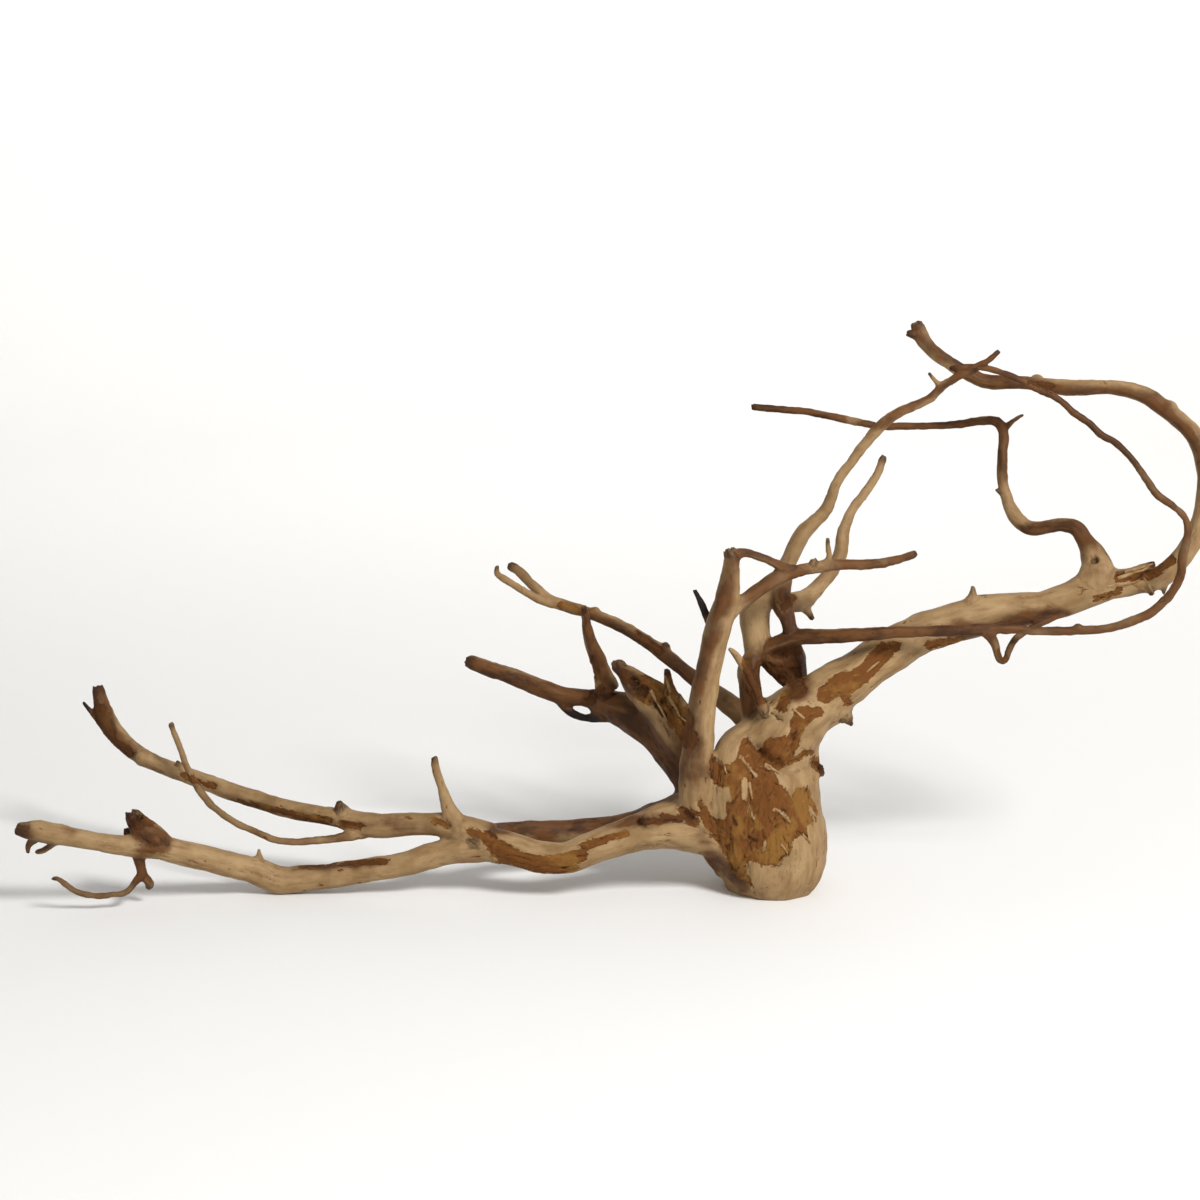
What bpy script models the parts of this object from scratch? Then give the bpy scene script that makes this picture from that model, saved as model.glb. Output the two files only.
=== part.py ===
"""Piece of driftwood: one peeled, flaked root on a cut foot, with crooked limbs that sprawl to both sides.

The limbs are routes of (across, up, depth, thickness) in millimetres. Across and up are as they are
seen in the front view, from the middle of the foot's underside, and depth is how far the point lies
behind the stump's axis.
"""

import math

import bmesh
import bpy
from mathutils import Vector, kdtree, noise

MM = 0.001

# The front view looks along +Y, a little from above
VIEW_TILT = math.radians(12.0)
VIEW_DISTANCE = 1167.0 * MM
VIEW_AIM = Vector((-89.9, 0.0, 150.2)) * MM
VIEW_AIM_ACROSS = -87.5 * MM
VIEW_AIM_UP = 143.25 * MM

# Limbs, from the stump outwards
LIMBS = {
    "stump": [(-10, -10.2, 0, 10), (-10, -6.2, 0, 23), (-9.5, -2.2, 0, 34), (-7.2, 2.2, 0, 47),
        (-5, 8.2, 0, 55.5), (-2.5, 16.8, 0, 58.5), (-2, 27.2, 0, 56.5), (-3.5, 39.2, 0, 54),
        (-3.5, 50.8, 0, 52), (-3.5, 59.2, 0, 49), (-3, 67.2, 0, 43), (-2, 73.2, 0, 33),
        (-1, 78.2, 0, 20)],
    "arm_buttress": [(4, 14.2, 3, 33), (7, 29.2, 3, 33), (8, 45.2, 2, 31), (8.5, 59.2, 0, 28),
        (9, 70.2, -2, 26.5), (14, 81.8, -4, 23), (23.5, 91.2, -5, 26)],
    "front_buttress": [(-13.5, 12.2, -11, 27), (-18.5, 27.2, -14, 25), (-21.5, 42.2, -16, 24),
        (-22, 55.2, -17, 23), (-20.5, 65.2, -14, 22.5), (-15.5, 72.8, -9, 19), (-3.5, 81.2, -5, 16)],
    "back_buttress": [(-5.5, 12.2, 9, 30), (-7.5, 30.8, 12, 29), (-9, 47.2, 14, 28),
        (-9, 60.8, 15, 26), (-6.5, 72.2, 13, 22), (0.5, 82.2, 9, 18), (7.5, 90.8, 7, 15)],
    "side_buttress": [(-18.5, 10.2, 5, 23), (-26.5, 24.2, 6, 27), (-30.5, 38.2, 7, 28),
        (-35.5, 50.2, 9, 27), (-40.5, 59.2, 10, 23)],
    "prong": [(-28.5, 24.2, -8, 22), (-35, 32.2, -14, 22), (-39, 43.2, -18, 19),
        (-39.5, 58.2, -21, 17), (-38, 73.2, -24, 15.5), (-36, 93.2, -27, 14),
        (-33.2, 108.2, -29, 13.2), (-30, 123.2, -31, 13), (-27.2, 133.2, -33, 13),
        (-24.2, 142.2, -34, 12.5), (-23, 151.2, -34, 10.5), (-22, 159.2, -34, 8.5),
        (-21.8, 164.2, -34, 8), (-22.5, 166.2, -34, 6.5)],
    "prong_bridge": [(-21, 165.2, -34, 5.5), (-15.5, 167, -33, 4.5), (-9, 165.2, -31, 4),
        (-2.5, 162.8, -29, 4), (4, 159.8, -27, 4.5), (10, 158.2, -25, 5)],
    "prong_reach": [(-22.5, 138.8, -33, 10), (-15, 143.2, -31, 7), (-7.5, 148.8, -29, 7),
        (0, 153.8, -27, 7), (7.5, 157, -25, 7), (15, 158.5, -23, 6), (23.5, 160, -20, 5.8),
        (35, 161, -16, 5.2), (45, 161, -12, 5), (55, 162, -6, 4.5), (64, 164.2, 0, 4),
        (69.5, 166.2, 6, 3.8)],
    "reach_twig": [(24.5, 160.2, -20, 4), (27.2, 164.8, -21, 2.8), (26.5, 169.8, -22, 2.5),
        (26.5, 173.8, -23, 2)],
    "reach_knob": [(19.5, 159.2, -22, 5), (19, 162.5, -23, 4)],
    "whip": [(-7.5, 112.2, 5, 7), (-7.5, 115.8, 4, 14), (-9.5, 126.8, 6, 14), (-10.2, 136.2, 8, 15),
        (-5.5, 144.8, 6, 12.5), (1.5, 153, 4, 10), (6.5, 161.8, 2, 8.5), (10.5, 170.2, 1, 8.2),
        (14.5, 177.2, 0, 8), (19.5, 182.2, -1, 7.2), (25, 187.8, -2, 6.5), (28.2, 194.8, -2, 5.8),
        (31, 202.2, -3, 5), (36, 209.2, -3, 4.8), (43.5, 219.5, -4, 5), (51.5, 228.8, -5, 5.8),
        (58, 234.5, -6, 5.5), (65, 238.5, -6, 5), (72.5, 241.5, -5, 4.5), (78.5, 244.8, -5, 4.5),
        (83.5, 249.8, -6, 4.2), (88.5, 253.2, -7, 4), (94, 256.2, -8, 3.8), (99.5, 258.2, -8, 3.5)],
    "whip_thorn": [(84, 249.2, -6, 3.5), (80.8, 252.2, -6, 2.5), (79, 254.2, -6, 1.8),
        (77, 256.8, -6, 1.5)],
    "whip_fork": [(96.5, 258.2, -8, 2.5), (102.5, 261.2, -9, 2.5), (107, 263.2, -10, 2.8),
        (111.5, 267.2, -10, 2.5)],
    "collar_strip": [(9.5, 123.2, -5, 7), (8, 128.2, -4, 7), (6.2, 135.2, -2, 8), (4, 140.2, 0, 11),
        (2.5, 146.2, 2, 11), (4.5, 153.2, 2, 9)],
    "back_rise": [(5.5, 141.8, 6, 10), (13, 142.8, 16, 10.5), (18, 146.2, 22, 8.5),
        (23.5, 151.8, 26, 7.5), (29.2, 159.2, 30, 7.2), (33, 166.8, 34, 7), (34.2, 177.2, 38, 6),
        (38, 187.5, 41, 5), (44.5, 196.2, 44, 4.5), (50.5, 205.2, 48, 4), (54, 213.8, 52, 4)],
    "rise_spur": [(13, 142.2, 15, 8.5), (16, 138.2, 16, 4.5), (18.5, 134.2, 16, 2.5)],
    "arch_leg": [(5.5, 124.8, 2, 6), (6.5, 120.8, 4, 13), (8, 114.2, 10, 15), (9.2, 107.2, 14, 13.5),
        (10.5, 100.8, 12, 12.5), (11.5, 92.2, 6, 16)],
    "arch_strap": [(-2.5, 116.2, 4, 13.5), (1.5, 110.5, 6, 13), (6.2, 104.8, 9, 10.5),
        (11, 99.2, 8, 9)],
    "arch_leg_front": [(-9, 117.2, 3, 10), (-13, 109.2, -2, 11.5), (-12.2, 98.2, -4, 11.8),
        (-10.5, 87.2, -2, 13), (-6.5, 75.8, 0, 18)],
    "splinter": [(-23, 119.2, -20, 1.8), (-20.5, 116.8, -18, 3), (-17.5, 112.8, -17, 3.8),
        (-13.5, 105.8, -15, 3.8), (-9, 96.8, -15, 3.8), (-5.5, 87.2, -16, 5)],
    "tendril": [(-11.5, 115.8, 4, 10), (-6.5, 118.2, 3, 9.5), (-0.5, 120.2, 0, 9), (6, 123.2, -3, 8.5),
        (12.5, 124.8, -6, 8), (27.5, 125.2, -12, 7.5), (43.5, 126, -17, 6.8), (60, 127, -20, 5.8),
        (75, 127.5, -22, 5.2), (91, 128, -24, 5.5), (105, 128.5, -25, 5.5), (120, 128.8, -25, 4.5),
        (129.5, 127.8, -26, 4.2), (151.5, 128, -28, 4.2), (166.5, 129.2, -29, 4.2),
        (176.5, 132, -30, 4.5), (186, 135.8, -31, 4.5), (193.5, 141.5, -32, 4.5),
        (199.2, 148.2, -33, 4.5), (203, 155.8, -33, 4.5), (204, 165.2, -33, 4.5), (206, 173.2, -33, 4),
        (206.5, 179.8, -32, 3.5), (204.5, 185.2, -31, 3.2), (199.2, 190.2, -30, 3.2),
        (191.2, 196, -28, 3.8), (185.2, 204.5, -25, 3.5), (179.2, 212.8, -22, 3.2),
        (170.8, 221.5, -20, 3.2), (163.2, 225.8, -18, 3.5), (157.5, 231.5, -16, 3.5),
        (150, 236.5, -14, 3.5), (144, 242, -13, 3.2), (139, 245.2, -12, 3.2), (132, 248.5, -11, 3.5),
        (124, 252.5, -10, 3.2), (117.5, 255.5, -9, 3.2), (109.5, 258.2, -8, 3), (101.5, 259.8, -8, 3),
        (93.5, 259.8, -7, 3), (88, 259, -6, 2.5)],
    "tendril_loop": [(104, 127.8, -25, 4.5), (107.5, 125.2, -26, 4.8), (110, 121.2, -26, 4.2),
        (111.5, 115.8, -26, 3.8), (113, 112.8, -25, 3.2), (115.5, 113.8, -23, 3.2),
        (117, 118.2, -20, 3.2), (119.5, 122.8, -17, 3.2), (123, 126, -14, 3.2),
        (129.5, 129.8, -11, 3.2), (136.5, 133.2, -9, 3.2), (145.5, 137.5, -8, 3.5),
        (155.5, 141.5, -7, 3.5), (165, 144.8, -7, 4)],
    "great_arm": [(0, 70.8, -4, 39), (11, 84.8, -6, 33.5), (23.5, 94.8, -5, 28.5),
        (37.5, 104, -4, 24.2), (52.5, 114.5, -2, 23), (70, 124.8, 0, 21.5), (87.5, 131.2, 0, 20.5),
        (105, 135.8, 0, 21), (120, 137.5, -1, 18), (135, 140.2, -2, 16), (148.5, 144.8, -3, 16.5),
        (161.5, 150.5, -4, 18), (173.5, 151.8, -5, 14.5), (185, 152.8, -6, 12.5),
        (193.5, 155.5, -9, 11), (201.5, 162.5, -12, 10.2), (209.5, 173.8, -14, 10),
        (213.5, 184.2, -16, 10), (215.8, 197.2, -16, 10), (215.8, 208.2, -15, 9.8),
        (213.8, 217.2, -12, 9.2), (209.5, 225.8, -8, 8.8), (202.5, 233, -3, 8.5), (192.5, 241, 2, 8.5),
        (184, 246.2, 5, 8.5), (172.5, 249, 9, 7.8), (164.5, 249.8, 11, 7.2), (149.5, 249.2, 15, 8),
        (139, 250.2, 18, 7.5), (124, 252, 22, 6.5), (112.5, 252, 25, 7), (105, 252.8, 27, 7.2),
        (98, 255.8, 29, 6.8), (91, 259.5, 31, 6.5), (83.5, 264.2, 34, 6.8), (77.2, 269.5, 37, 7),
        (73, 275.5, 40, 7.5), (71.5, 279.5, 42, 7.2)],
    "arm_tip_lobe": [(74.5, 274.2, 40, 5.5), (70, 276, 39, 4.8), (67.2, 276.5, 38, 3.5)],
    "arm_stub": [(168.5, 153, -9, 10), (177.5, 156, -11, 6.5), (183.5, 159, -12, 4.5),
        (189, 161.2, -12, 3)],
    "arm_spur": [(31.5, 90.8, -8, 15), (35.5, 84.8, -9, 7.5), (38.5, 80.8, -9, 1.8)],
    "arm_thorn": [(98, 142.2, -2, 8), (99, 146.2, -2, 4), (99, 149.8, -2, 2)],
    "crook": [(160.8, 153.8, -4, 20), (160.8, 160.8, 1, 15), (158.5, 167.2, 5, 12),
        (155, 173.2, 9, 8.5), (151, 179, 12, 8), (144, 181, 15, 6.8), (136, 179.8, 18, 7),
        (128, 179, 21, 7.2), (121.5, 183.5, 25, 7.5), (116.8, 191.8, 30, 6), (113.8, 203.2, 36, 5.5),
        (113.8, 215.8, 41, 5.2), (114.5, 224.8, 45, 5.2), (112.8, 231, 47, 4.8), (108.5, 233, 48, 4.5),
        (100, 232.5, 50, 4.2), (92.5, 231.2, 52, 4), (82.5, 230.5, 54, 3.5), (72.5, 230.2, 56, 3.5),
        (62.5, 230.2, 58, 3.5), (52.5, 230.2, 60, 3.5), (42.5, 232, 61, 3.8), (33, 234, 62, 3.8),
        (22.5, 236.2, 64, 3.5), (12.5, 237.8, 66, 3.5), (0, 238.8, 68, 3.5), (-11, 239.8, 70, 3.2)],
    "crook_twig": [(114, 227.8, 46, 4), (117.5, 231.5, 47, 2.5), (120, 233.5, 48, 2),
        (124, 235.8, 49, 1.5)],
    "crook_thorn": [(114, 196.8, 33, 4), (110.5, 198.5, 32, 1.2)],
    "far_fork": [(-3.5, 69.2, 8, 14), (-5.5, 73.2, 12, 17), (-11.5, 81.2, 16, 13),
        (-18.5, 87.8, 20, 11.5), (-27, 94.2, 26, 10), (-34.5, 99.8, 33, 8.5), (-41.8, 105.2, 38, 7.5),
        (-48.8, 111, 42, 7.2), (-55.8, 116.5, 46, 7.2), (-68.8, 125.5, 53, 6.2), (-81.2, 132, 58, 6.2),
        (-92, 136.5, 62, 5.8), (-102, 139.5, 66, 5.8), (-109.5, 141.8, 68, 5.8), (-115, 145.2, 70, 5),
        (-121.5, 151, 74, 4.8), (-127.5, 157.2, 78, 4.8), (-131.5, 159.8, 80, 4.8)],
    "fork_second": [(-111, 141.2, 68, 4.5), (-118.5, 143.8, 66, 4), (-127, 148.5, 62, 3.5),
        (-135, 153.5, 58, 3.5), (-139, 156.5, 55, 2.8), (-139, 159.8, 54, 2)],
    "fork_thorn": [(-55.5, 117.2, 46, 4.5), (-54.8, 120.5, 46, 2.5)],
    "near_fork": [(-32, 47.2, 6, 30), (-41.2, 60.5, 12, 27), (-51.2, 72, 20, 25.5),
        (-63.5, 82, 27, 23), (-75.5, 88.2, 34, 18.5), (-86.5, 92.2, 41, 14), (-94, 94, 45, 9),
        (-100, 94.5, 46, 8.8), (-106.5, 95.5, 48, 9), (-115, 98.5, 50, 9.5), (-121.5, 101, 52, 9),
        (-130, 104.5, 54, 8.5), (-137.5, 107.2, 56, 8.2), (-145, 109.8, 58, 7.8),
        (-151.5, 112, 60, 7.5)],
    "eye_strand": [(-108, 93.8, 48, 5.5), (-104, 88.8, 47, 4.5), (-99, 85.5, 45, 3.8),
        (-92.5, 84.2, 42, 4), (-84.5, 86.8, 37, 10)],
    "fork_spike": [(-83.5, 98.2, 37, 13), (-86.2, 106.2, 36, 9.5), (-89, 114.8, 34, 7.8),
        (-92.2, 122.2, 32, 6.5), (-94.2, 130.8, 30, 4.8), (-95.2, 137.2, 29, 3.8),
        (-95.5, 139.8, 28, 2.8)],
    "torn_limb": [(-40.5, 68.2, 8, 25), (-50.5, 81.2, 10, 22), (-59.5, 91.8, 13, 19.5),
        (-68, 100.2, 16, 15), (-74, 106.2, 18, 9.5), (-78, 110, 19, 6)],
    "torn_tooth": [(-51, 91.8, 5, 10), (-53, 99.8, 3, 5.5), (-54, 107.8, 2, 3.2)],
    "torn_tooth_low": [(-43.5, 85.2, 3, 9), (-46.5, 91.2, 2, 5), (-48, 95.8, 2, 2)],
    "low_root": [(-23.5, 26.2, -4, 29), (-37.5, 29.2, -11, 27.5), (-50.5, 30.8, -15, 26),
        (-65, 27.8, -18, 20.5), (-78, 24.2, -20, 17.5), (-91, 19.2, -21, 16.2),
        (-103.5, 14.5, -21, 16.5), (-116.5, 14.8, -20, 16.5), (-129.5, 18, -18, 16.5),
        (-140, 20.2, -15, 17.5), (-148.5, 21.8, -14, 17.5)],
    "upper_reach": [(-141.5, 23.8, -15, 16), (-155, 28.8, -13, 13), (-166, 30.8, -11, 12),
        (-176.5, 31, -9, 11.2), (-187.5, 30.8, -7, 11.8), (-197, 30.2, -5, 12.5),
        (-206.5, 31.5, -3, 12), (-217, 34, 0, 10), (-227.5, 36, 3, 9), (-237.5, 37.5, 7, 9),
        (-244.5, 39, 10, 9), (-265, 45.2, 19, 8.8), (-285.5, 52.5, 27, 8.5), (-301, 58.2, 34, 8.2),
        (-316, 64.8, 40, 8), (-325.5, 71.8, 44, 9), (-332, 78.8, 47, 10), (-335.5, 86.8, 49, 9),
        (-337.5, 94.2, 51, 7.2), (-338.2, 98.2, 52, 6)],
    "reach_tip_thorn": [(-337, 81.2, 48, 3.5), (-341, 86, 49, 2.2), (-343.5, 89.2, 50, 2),
        (-345.8, 91.8, 51, 1.5)],
    "upper_knob": [(-216, 37.2, -1, 8), (-217.8, 40.8, -2, 4.5)],
    "upper_spur": [(-295, 57.8, 30, 4.5), (-299, 62.2, 31, 2)],
    "runner": [(-205, 27.8, -4, 7.5), (-217, 24.5, -8, 4.5), (-227.5, 23.2, -11, 3.8),
        (-239.5, 22.2, -13, 3.5), (-249.5, 23.2, -14, 3.5), (-260, 27.5, -12, 3.2),
        (-270, 32, -8, 3.2), (-280.5, 39.5, -1, 3.2), (-287.5, 47.8, 8, 3.8), (-293.5, 58.2, 17, 3.2),
        (-297.5, 69.2, 21, 3), (-300.5, 76.8, 24, 2.8), (-302, 80.8, 25, 3)],
    "upright": [(-158, 29.2, -13, 12), (-162, 36.2, -13, 8.5), (-164.5, 42.8, -12, 6.2),
        (-166.5, 49.2, -11, 4.8), (-168.8, 55.8, -10, 4), (-170, 60.8, -9, 3.8),
        (-170.2, 63.8, -9, 3.5)],
    "lower_reach": [(-142.5, 20.2, -15, 17.5), (-156, 19, -15, 14.5), (-166, 16.8, -14, 13.2),
        (-176.5, 13.8, -14, 13), (-186.5, 10.8, -14, 12.5), (-207, 7.5, -13, 12.5),
        (-222.5, 5.2, -11.5, 12.8), (-237.5, 4, -10.5, 13.2), (-247.5, 3.2, -10, 14.5),
        (-256.5, 6.5, -11.5, 14), (-265, 9, -15, 13), (-285.5, 14, -24, 13), (-306, 18.8, -33, 12.5),
        (-316, 19.8, -36, 11.2), (-326.5, 20.5, -39, 10.2), (-336, 21.8, -42, 9.2),
        (-347.5, 23.8, -45, 9.2), (-357.5, 25.8, -47, 10.5), (-366.5, 27.5, -49, 11),
        (-372.5, 28.2, -50, 9.5), (-376, 28.5, -51, 8)],
    "lower_thorn": [(-258, 11.2, -12, 8), (-258, 15.2, -12, 3.5), (-258, 18.2, -12, 1.5)],
    "lower_stub": [(-305.5, 20.2, -33, 11), (-310.5, 24.8, -33, 12.5), (-316.5, 29.2, -34, 12),
        (-320.5, 34.2, -35, 9)],
    "lower_spur": [(-319.5, 20.2, -30, 7), (-323, 25.2, -27, 5), (-324.2, 28.2, -26, 3)],
    "under_twig": [(-319, 19.2, -36, 6.5), (-318, 13.8, -34, 5.8), (-317, 9.2, -32, 4.8),
        (-316.8, 5.8, -32, 4.8), (-319.5, 2.8, -33, 3.5), (-322, -0.5, -35, 3), (-325, -3.2, -37, 3),
        (-331, -4, -38, 2.8), (-338.5, -4.8, -39, 2.8), (-345.5, -3.8, -40, 2.8),
        (-350.5, -2, -42, 2.8), (-355, 1.2, -44, 2.8), (-358.5, 3.8, -46, 2.2), (-361, 4, -47, 2)],
    "under_knob": [(-317, 6.2, -32, 4.5), (-314, 3.5, -31, 4.2), (-312.5, 1.2, -30, 4.2),
        (-313, 0.2, -29, 3.8)],
    "tip_barb": [(-368.5, 25.2, -49, 5), (-372, 22.2, -47, 3.8), (-373.5, 19.8, -46, 2.8),
        (-373.5, 17.2, -46, 2)],
    "tip_barb_far": [(-360.5, 22.8, -48, 4.5), (-363, 19.8, -46, 3), (-366, 18, -45, 2.8),
        (-369, 17.2, -45, 2.5)],
    "back_root": [(-145.5, 24.2, -12, 14), (-135, 26.2, -2, 12.5), (-122.5, 26.8, 6, 12),
        (-107.5, 27.2, 12, 12), (-92.5, 28.2, 14, 12), (-77.5, 29.8, 13, 12.5), (-62.5, 33.2, 8, 15),
        (-45, 37.2, 2, 21)],
    "thorn_black": [(-31, 129.2, -27, 4.5), (-34.5, 136.2, -25, 4), (-37.2, 142.2, -23, 3.2),
        (-40, 147.8, -21, 2.2)],
    "stump_knob": [(19.5, 58.8, -4, 8), (23.5, 58.2, -6, 3.5)],
    "arm_barb": [(188, 151.2, -7, 5), (188.5, 147.8, -7, 2.8), (188.2, 145.8, -7, 1.8)],
    "arm_barb_outer": [(194, 152.8, -9, 5), (194.5, 148.8, -9, 2.8), (194.2, 146.5, -9, 1.8)],
}

# Knots and swellings on the limbs
KNOTS = [
    (104, 142, 1, 8), (109.5, 142, 0, 7),
    (-55, 119.5, 46, 6), (-90, 137.5, 62, 5.5),
    (-78, 110, 20, 8), (-63, 34, -27, 9),
    (20, 57.5, -6, 10), (8, 88, -19, 13), (-2, 78, 3, 30),
    (151.5, 129, -28, 5.5), (159, 162.5, 4, 9),
    (-310, 23.5, -38, 8), (-316, 64.5, 37, 9.5),
    (73.5, 275.5, 41, 7.5), (131, 252.5, 24, 8),
    (197, 238.5, 0, 10),
]

# Rotted hollows, cut into the surface, with their sizes across, up and in depth
HOLLOWS = [
    ((-56, 92, 2), (3.6, 6.4, 9)),
    ((-71, 101.5, 11), (6, 7, 5)), ((-66.5, 97, 8), (7, 7.5, 6)), ((-61.5, 92, 4), (6.5, 7, 6)),
    ((159.8, 163, -3), (4, 5, 7)),
    ((-318.5, 35, -38), (3.2, 5.4, 8)),
    ((-38.5, 35, -31), (2.2, 3, 5)),
    ((21, 59.5, -24), (2.4, 3.4, 6)),
]

# Limbs waver in thickness and sway a little; lumps are as long as this many thicknesses
POINT_SPACING = 1.5 * MM
LEAST_RADIUS = 0.8 * MM
LUMP_SHARE = 0.07
LUMP_LENGTH = 1.6
SWELL_RATE = 1.7
SWAY_SHARE = 0.05
TIP_SHARE = 0.8

# Smoothing takes this much off a twig again
TWIG_GAIN = 0.25 * MM

# Limbs grow out of thick wood in soft fillets
FILLET_ROUNDS = 20
FILLET_STRENGTH = 0.5
FILLET_FULL_RADIUS = 9.0 * MM
FILLET_NO_RADIUS = 1.5 * MM
LEAST_FILLET = 0.08

# Fineness
FINE_VOXEL = 0.8 * MM
WELD = 0.001 * MM
LIMB_ROUNDNESS = 4
BALL_ROUNDNESS = 3
GROUND_SNAP = 0.12 * MM
TRIANGLES = 11400

WOOD_COLOUR = (0.45, 0.32, 0.19, 1.0)
WOOD_ROUGHNESS = 0.75


def clear_scene():
    """Remove whatever the scene starts with."""
    for item in list(bpy.data.objects):
        bpy.data.objects.remove(item, do_unlink=True)


def new_collection(name):
    """A collection linked to the scene."""
    collection = bpy.data.collections.new(name)
    bpy.context.scene.collection.children.link(collection)
    return collection


def placed(across, up, depth):
    """World position of a point of the front view, and how much larger things are there than they look."""
    ahead = Vector((0.0, math.cos(VIEW_TILT), -math.sin(VIEW_TILT)))
    upward = Vector((0.0, math.sin(VIEW_TILT), math.cos(VIEW_TILT)))
    eye = VIEW_AIM - ahead * VIEW_DISTANCE
    ray = ahead * VIEW_DISTANCE
    ray = ray + Vector((across * MM - VIEW_AIM_ACROSS, 0.0, 0.0))
    ray = ray + upward * (up * MM - VIEW_AIM_UP)
    growth = (depth * MM - eye.y) / ray.y
    return eye + ray * growth, growth


def between(before, start, end, after, share):
    """Catmull-Rom curve from start to end, for numbers and for vectors."""
    linear = (end - before) * share
    square = (before * 2.0 - start * 5.0 + end * 4.0 - after) * share ** 2
    cube = (start * 3.0 - before - end * 3.0 + after) * share ** 3
    return start + (linear + square + cube) * 0.5


def smooth_route(points):
    """Closely spaced (position, radius) along a limb, with slow lumps and sways."""
    stations = []
    for across, up, depth, thickness in points:
        position, growth = placed(across, up, depth)
        stations.append((position, thickness * MM * growth / 2.0))
    first = (stations[0][0] * 2.0 - stations[1][0], stations[0][1])
    last = (stations[-1][0] * 2.0 - stations[-2][0], stations[-1][1])
    padded = [first] + stations + [last]
    samples = []
    for index in range(1, len(padded) - 2):
        span = (padded[index + 1][0] - padded[index][0]).length
        steps = max(2, math.ceil(span / POINT_SPACING))
        for step in range(steps):
            four = padded[index - 1:index + 3]
            share = step / steps
            position = between(*[station[0] for station in four], share)
            radius = between(*[station[1] for station in four], share)
            samples.append(lumpy(position, max(radius, LEAST_RADIUS)))
    samples.append(stations[-1])
    tip, radius = stations[-1]
    onward = (tip - stations[-2][0]).normalized()
    samples.append((tip + onward * (radius * TIP_SHARE), radius * TIP_SHARE))
    return samples


def lumpy(position, radius):
    """A sample moved and swollen by noise whose length follows the limb's thickness."""
    place = position / (2.0 * radius * LUMP_LENGTH)
    sway = noise.noise_vector(place) * (radius * SWAY_SHARE)
    swell = 1.0 + LUMP_SHARE * noise.noise(place * SWELL_RATE)
    return position + sway, radius * swell


def add_tube(name, samples, collection):
    """A round-sectioned curve along the samples, as a closed mesh."""
    curve = bpy.data.curves.new(name, "CURVE")
    curve.dimensions = "3D"
    curve.bevel_depth = 1.0
    curve.bevel_resolution = LIMB_ROUNDNESS
    curve.use_fill_caps = True
    spline = curve.splines.new("POLY")
    spline.points.add(len(samples) - 1)
    for point, (position, radius) in zip(spline.points, samples):
        point.co = (*position, 1.0)
        point.radius = radius + TWIG_GAIN
    item = bpy.data.objects.new(name, curve)
    collection.objects.link(item)
    bpy.context.view_layer.update()
    evaluated = item.evaluated_get(bpy.context.evaluated_depsgraph_get())
    mesh = bpy.data.meshes.new_from_object(evaluated)
    bpy.data.objects.remove(item, do_unlink=True)
    return mesh


def add_ball(across, up, depth, size):
    """A knot: a ball where the front view shows it."""
    position, growth = placed(across, up, depth)
    ball = bmesh.new()
    bmesh.ops.create_icosphere(ball, subdivisions=BALL_ROUNDNESS, radius=size * MM * growth / 2.0)
    bmesh.ops.translate(ball, vec=position, verts=ball.verts)
    return ball


def rough_shape(routes, helpers):
    """All limbs and knots as overlapping closed shells in one mesh."""
    joined = bmesh.new()
    for name, samples in routes.items():
        mesh = add_tube(name, samples, helpers)
        tube = bmesh.new()
        tube.from_mesh(mesh)
        bmesh.ops.remove_doubles(tube, verts=tube.verts, dist=WELD)
        tube.to_mesh(mesh)
        tube.free()
        joined.from_mesh(mesh)
        bpy.data.meshes.remove(mesh)
    for across, up, depth, size in KNOTS:
        ball = add_ball(across, up, depth, size)
        mesh = bpy.data.meshes.new("knot")
        ball.to_mesh(mesh)
        ball.free()
        joined.from_mesh(mesh)
        bpy.data.meshes.remove(mesh)
    mesh = bpy.data.meshes.new("driftwood")
    joined.to_mesh(mesh)
    joined.free()
    return mesh


def hollow_cutters(helpers):
    """One ellipsoid for each rotted hollow."""
    cutters = []
    for (across, up, depth), sizes in HOLLOWS:
        position, growth = placed(across, up, depth)
        mesh = bpy.data.meshes.new("hollow")
        ball = bmesh.new()
        bmesh.ops.create_icosphere(ball, subdivisions=BALL_ROUNDNESS, radius=0.5)
        ball.to_mesh(mesh)
        ball.free()
        cutter = bpy.data.objects.new("hollow", mesh)
        cutter.location = position
        cutter.scale = Vector((sizes[0], sizes[2], sizes[1])) * (MM * growth)
        helpers.objects.link(cutter)
        cutters.append(cutter)
    return cutters


def apply_modifiers(item):
    """Replace an object's mesh by what its modifiers make of it."""
    bpy.context.view_layer.update()
    evaluated = item.evaluated_get(bpy.context.evaluated_depsgraph_get())
    mesh = bpy.data.meshes.new_from_object(evaluated)
    item.modifiers.clear()
    old = item.data
    item.data = mesh
    bpy.data.meshes.remove(old)


def fuse(item):
    """Grow all the shells together into one skin."""
    remesh = item.modifiers.new("fuse", "REMESH")
    remesh.mode = "VOXEL"
    remesh.voxel_size = FINE_VOXEL
    apply_modifiers(item)


def cut_hollows(item, helpers):
    """Take the hollows out of the skin, which is then meshed evenly again round their rims."""
    cutters = hollow_cutters(helpers)
    boolean = item.modifiers.new("hollows", "BOOLEAN")
    boolean.operation = "DIFFERENCE"
    boolean.operand_type = "COLLECTION"
    boolean.collection = helpers
    boolean.solver = "MANIFOLD"
    apply_modifiers(item)
    for cutter in cutters:
        bpy.data.objects.remove(cutter, do_unlink=True)
    fuse(item)


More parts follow.
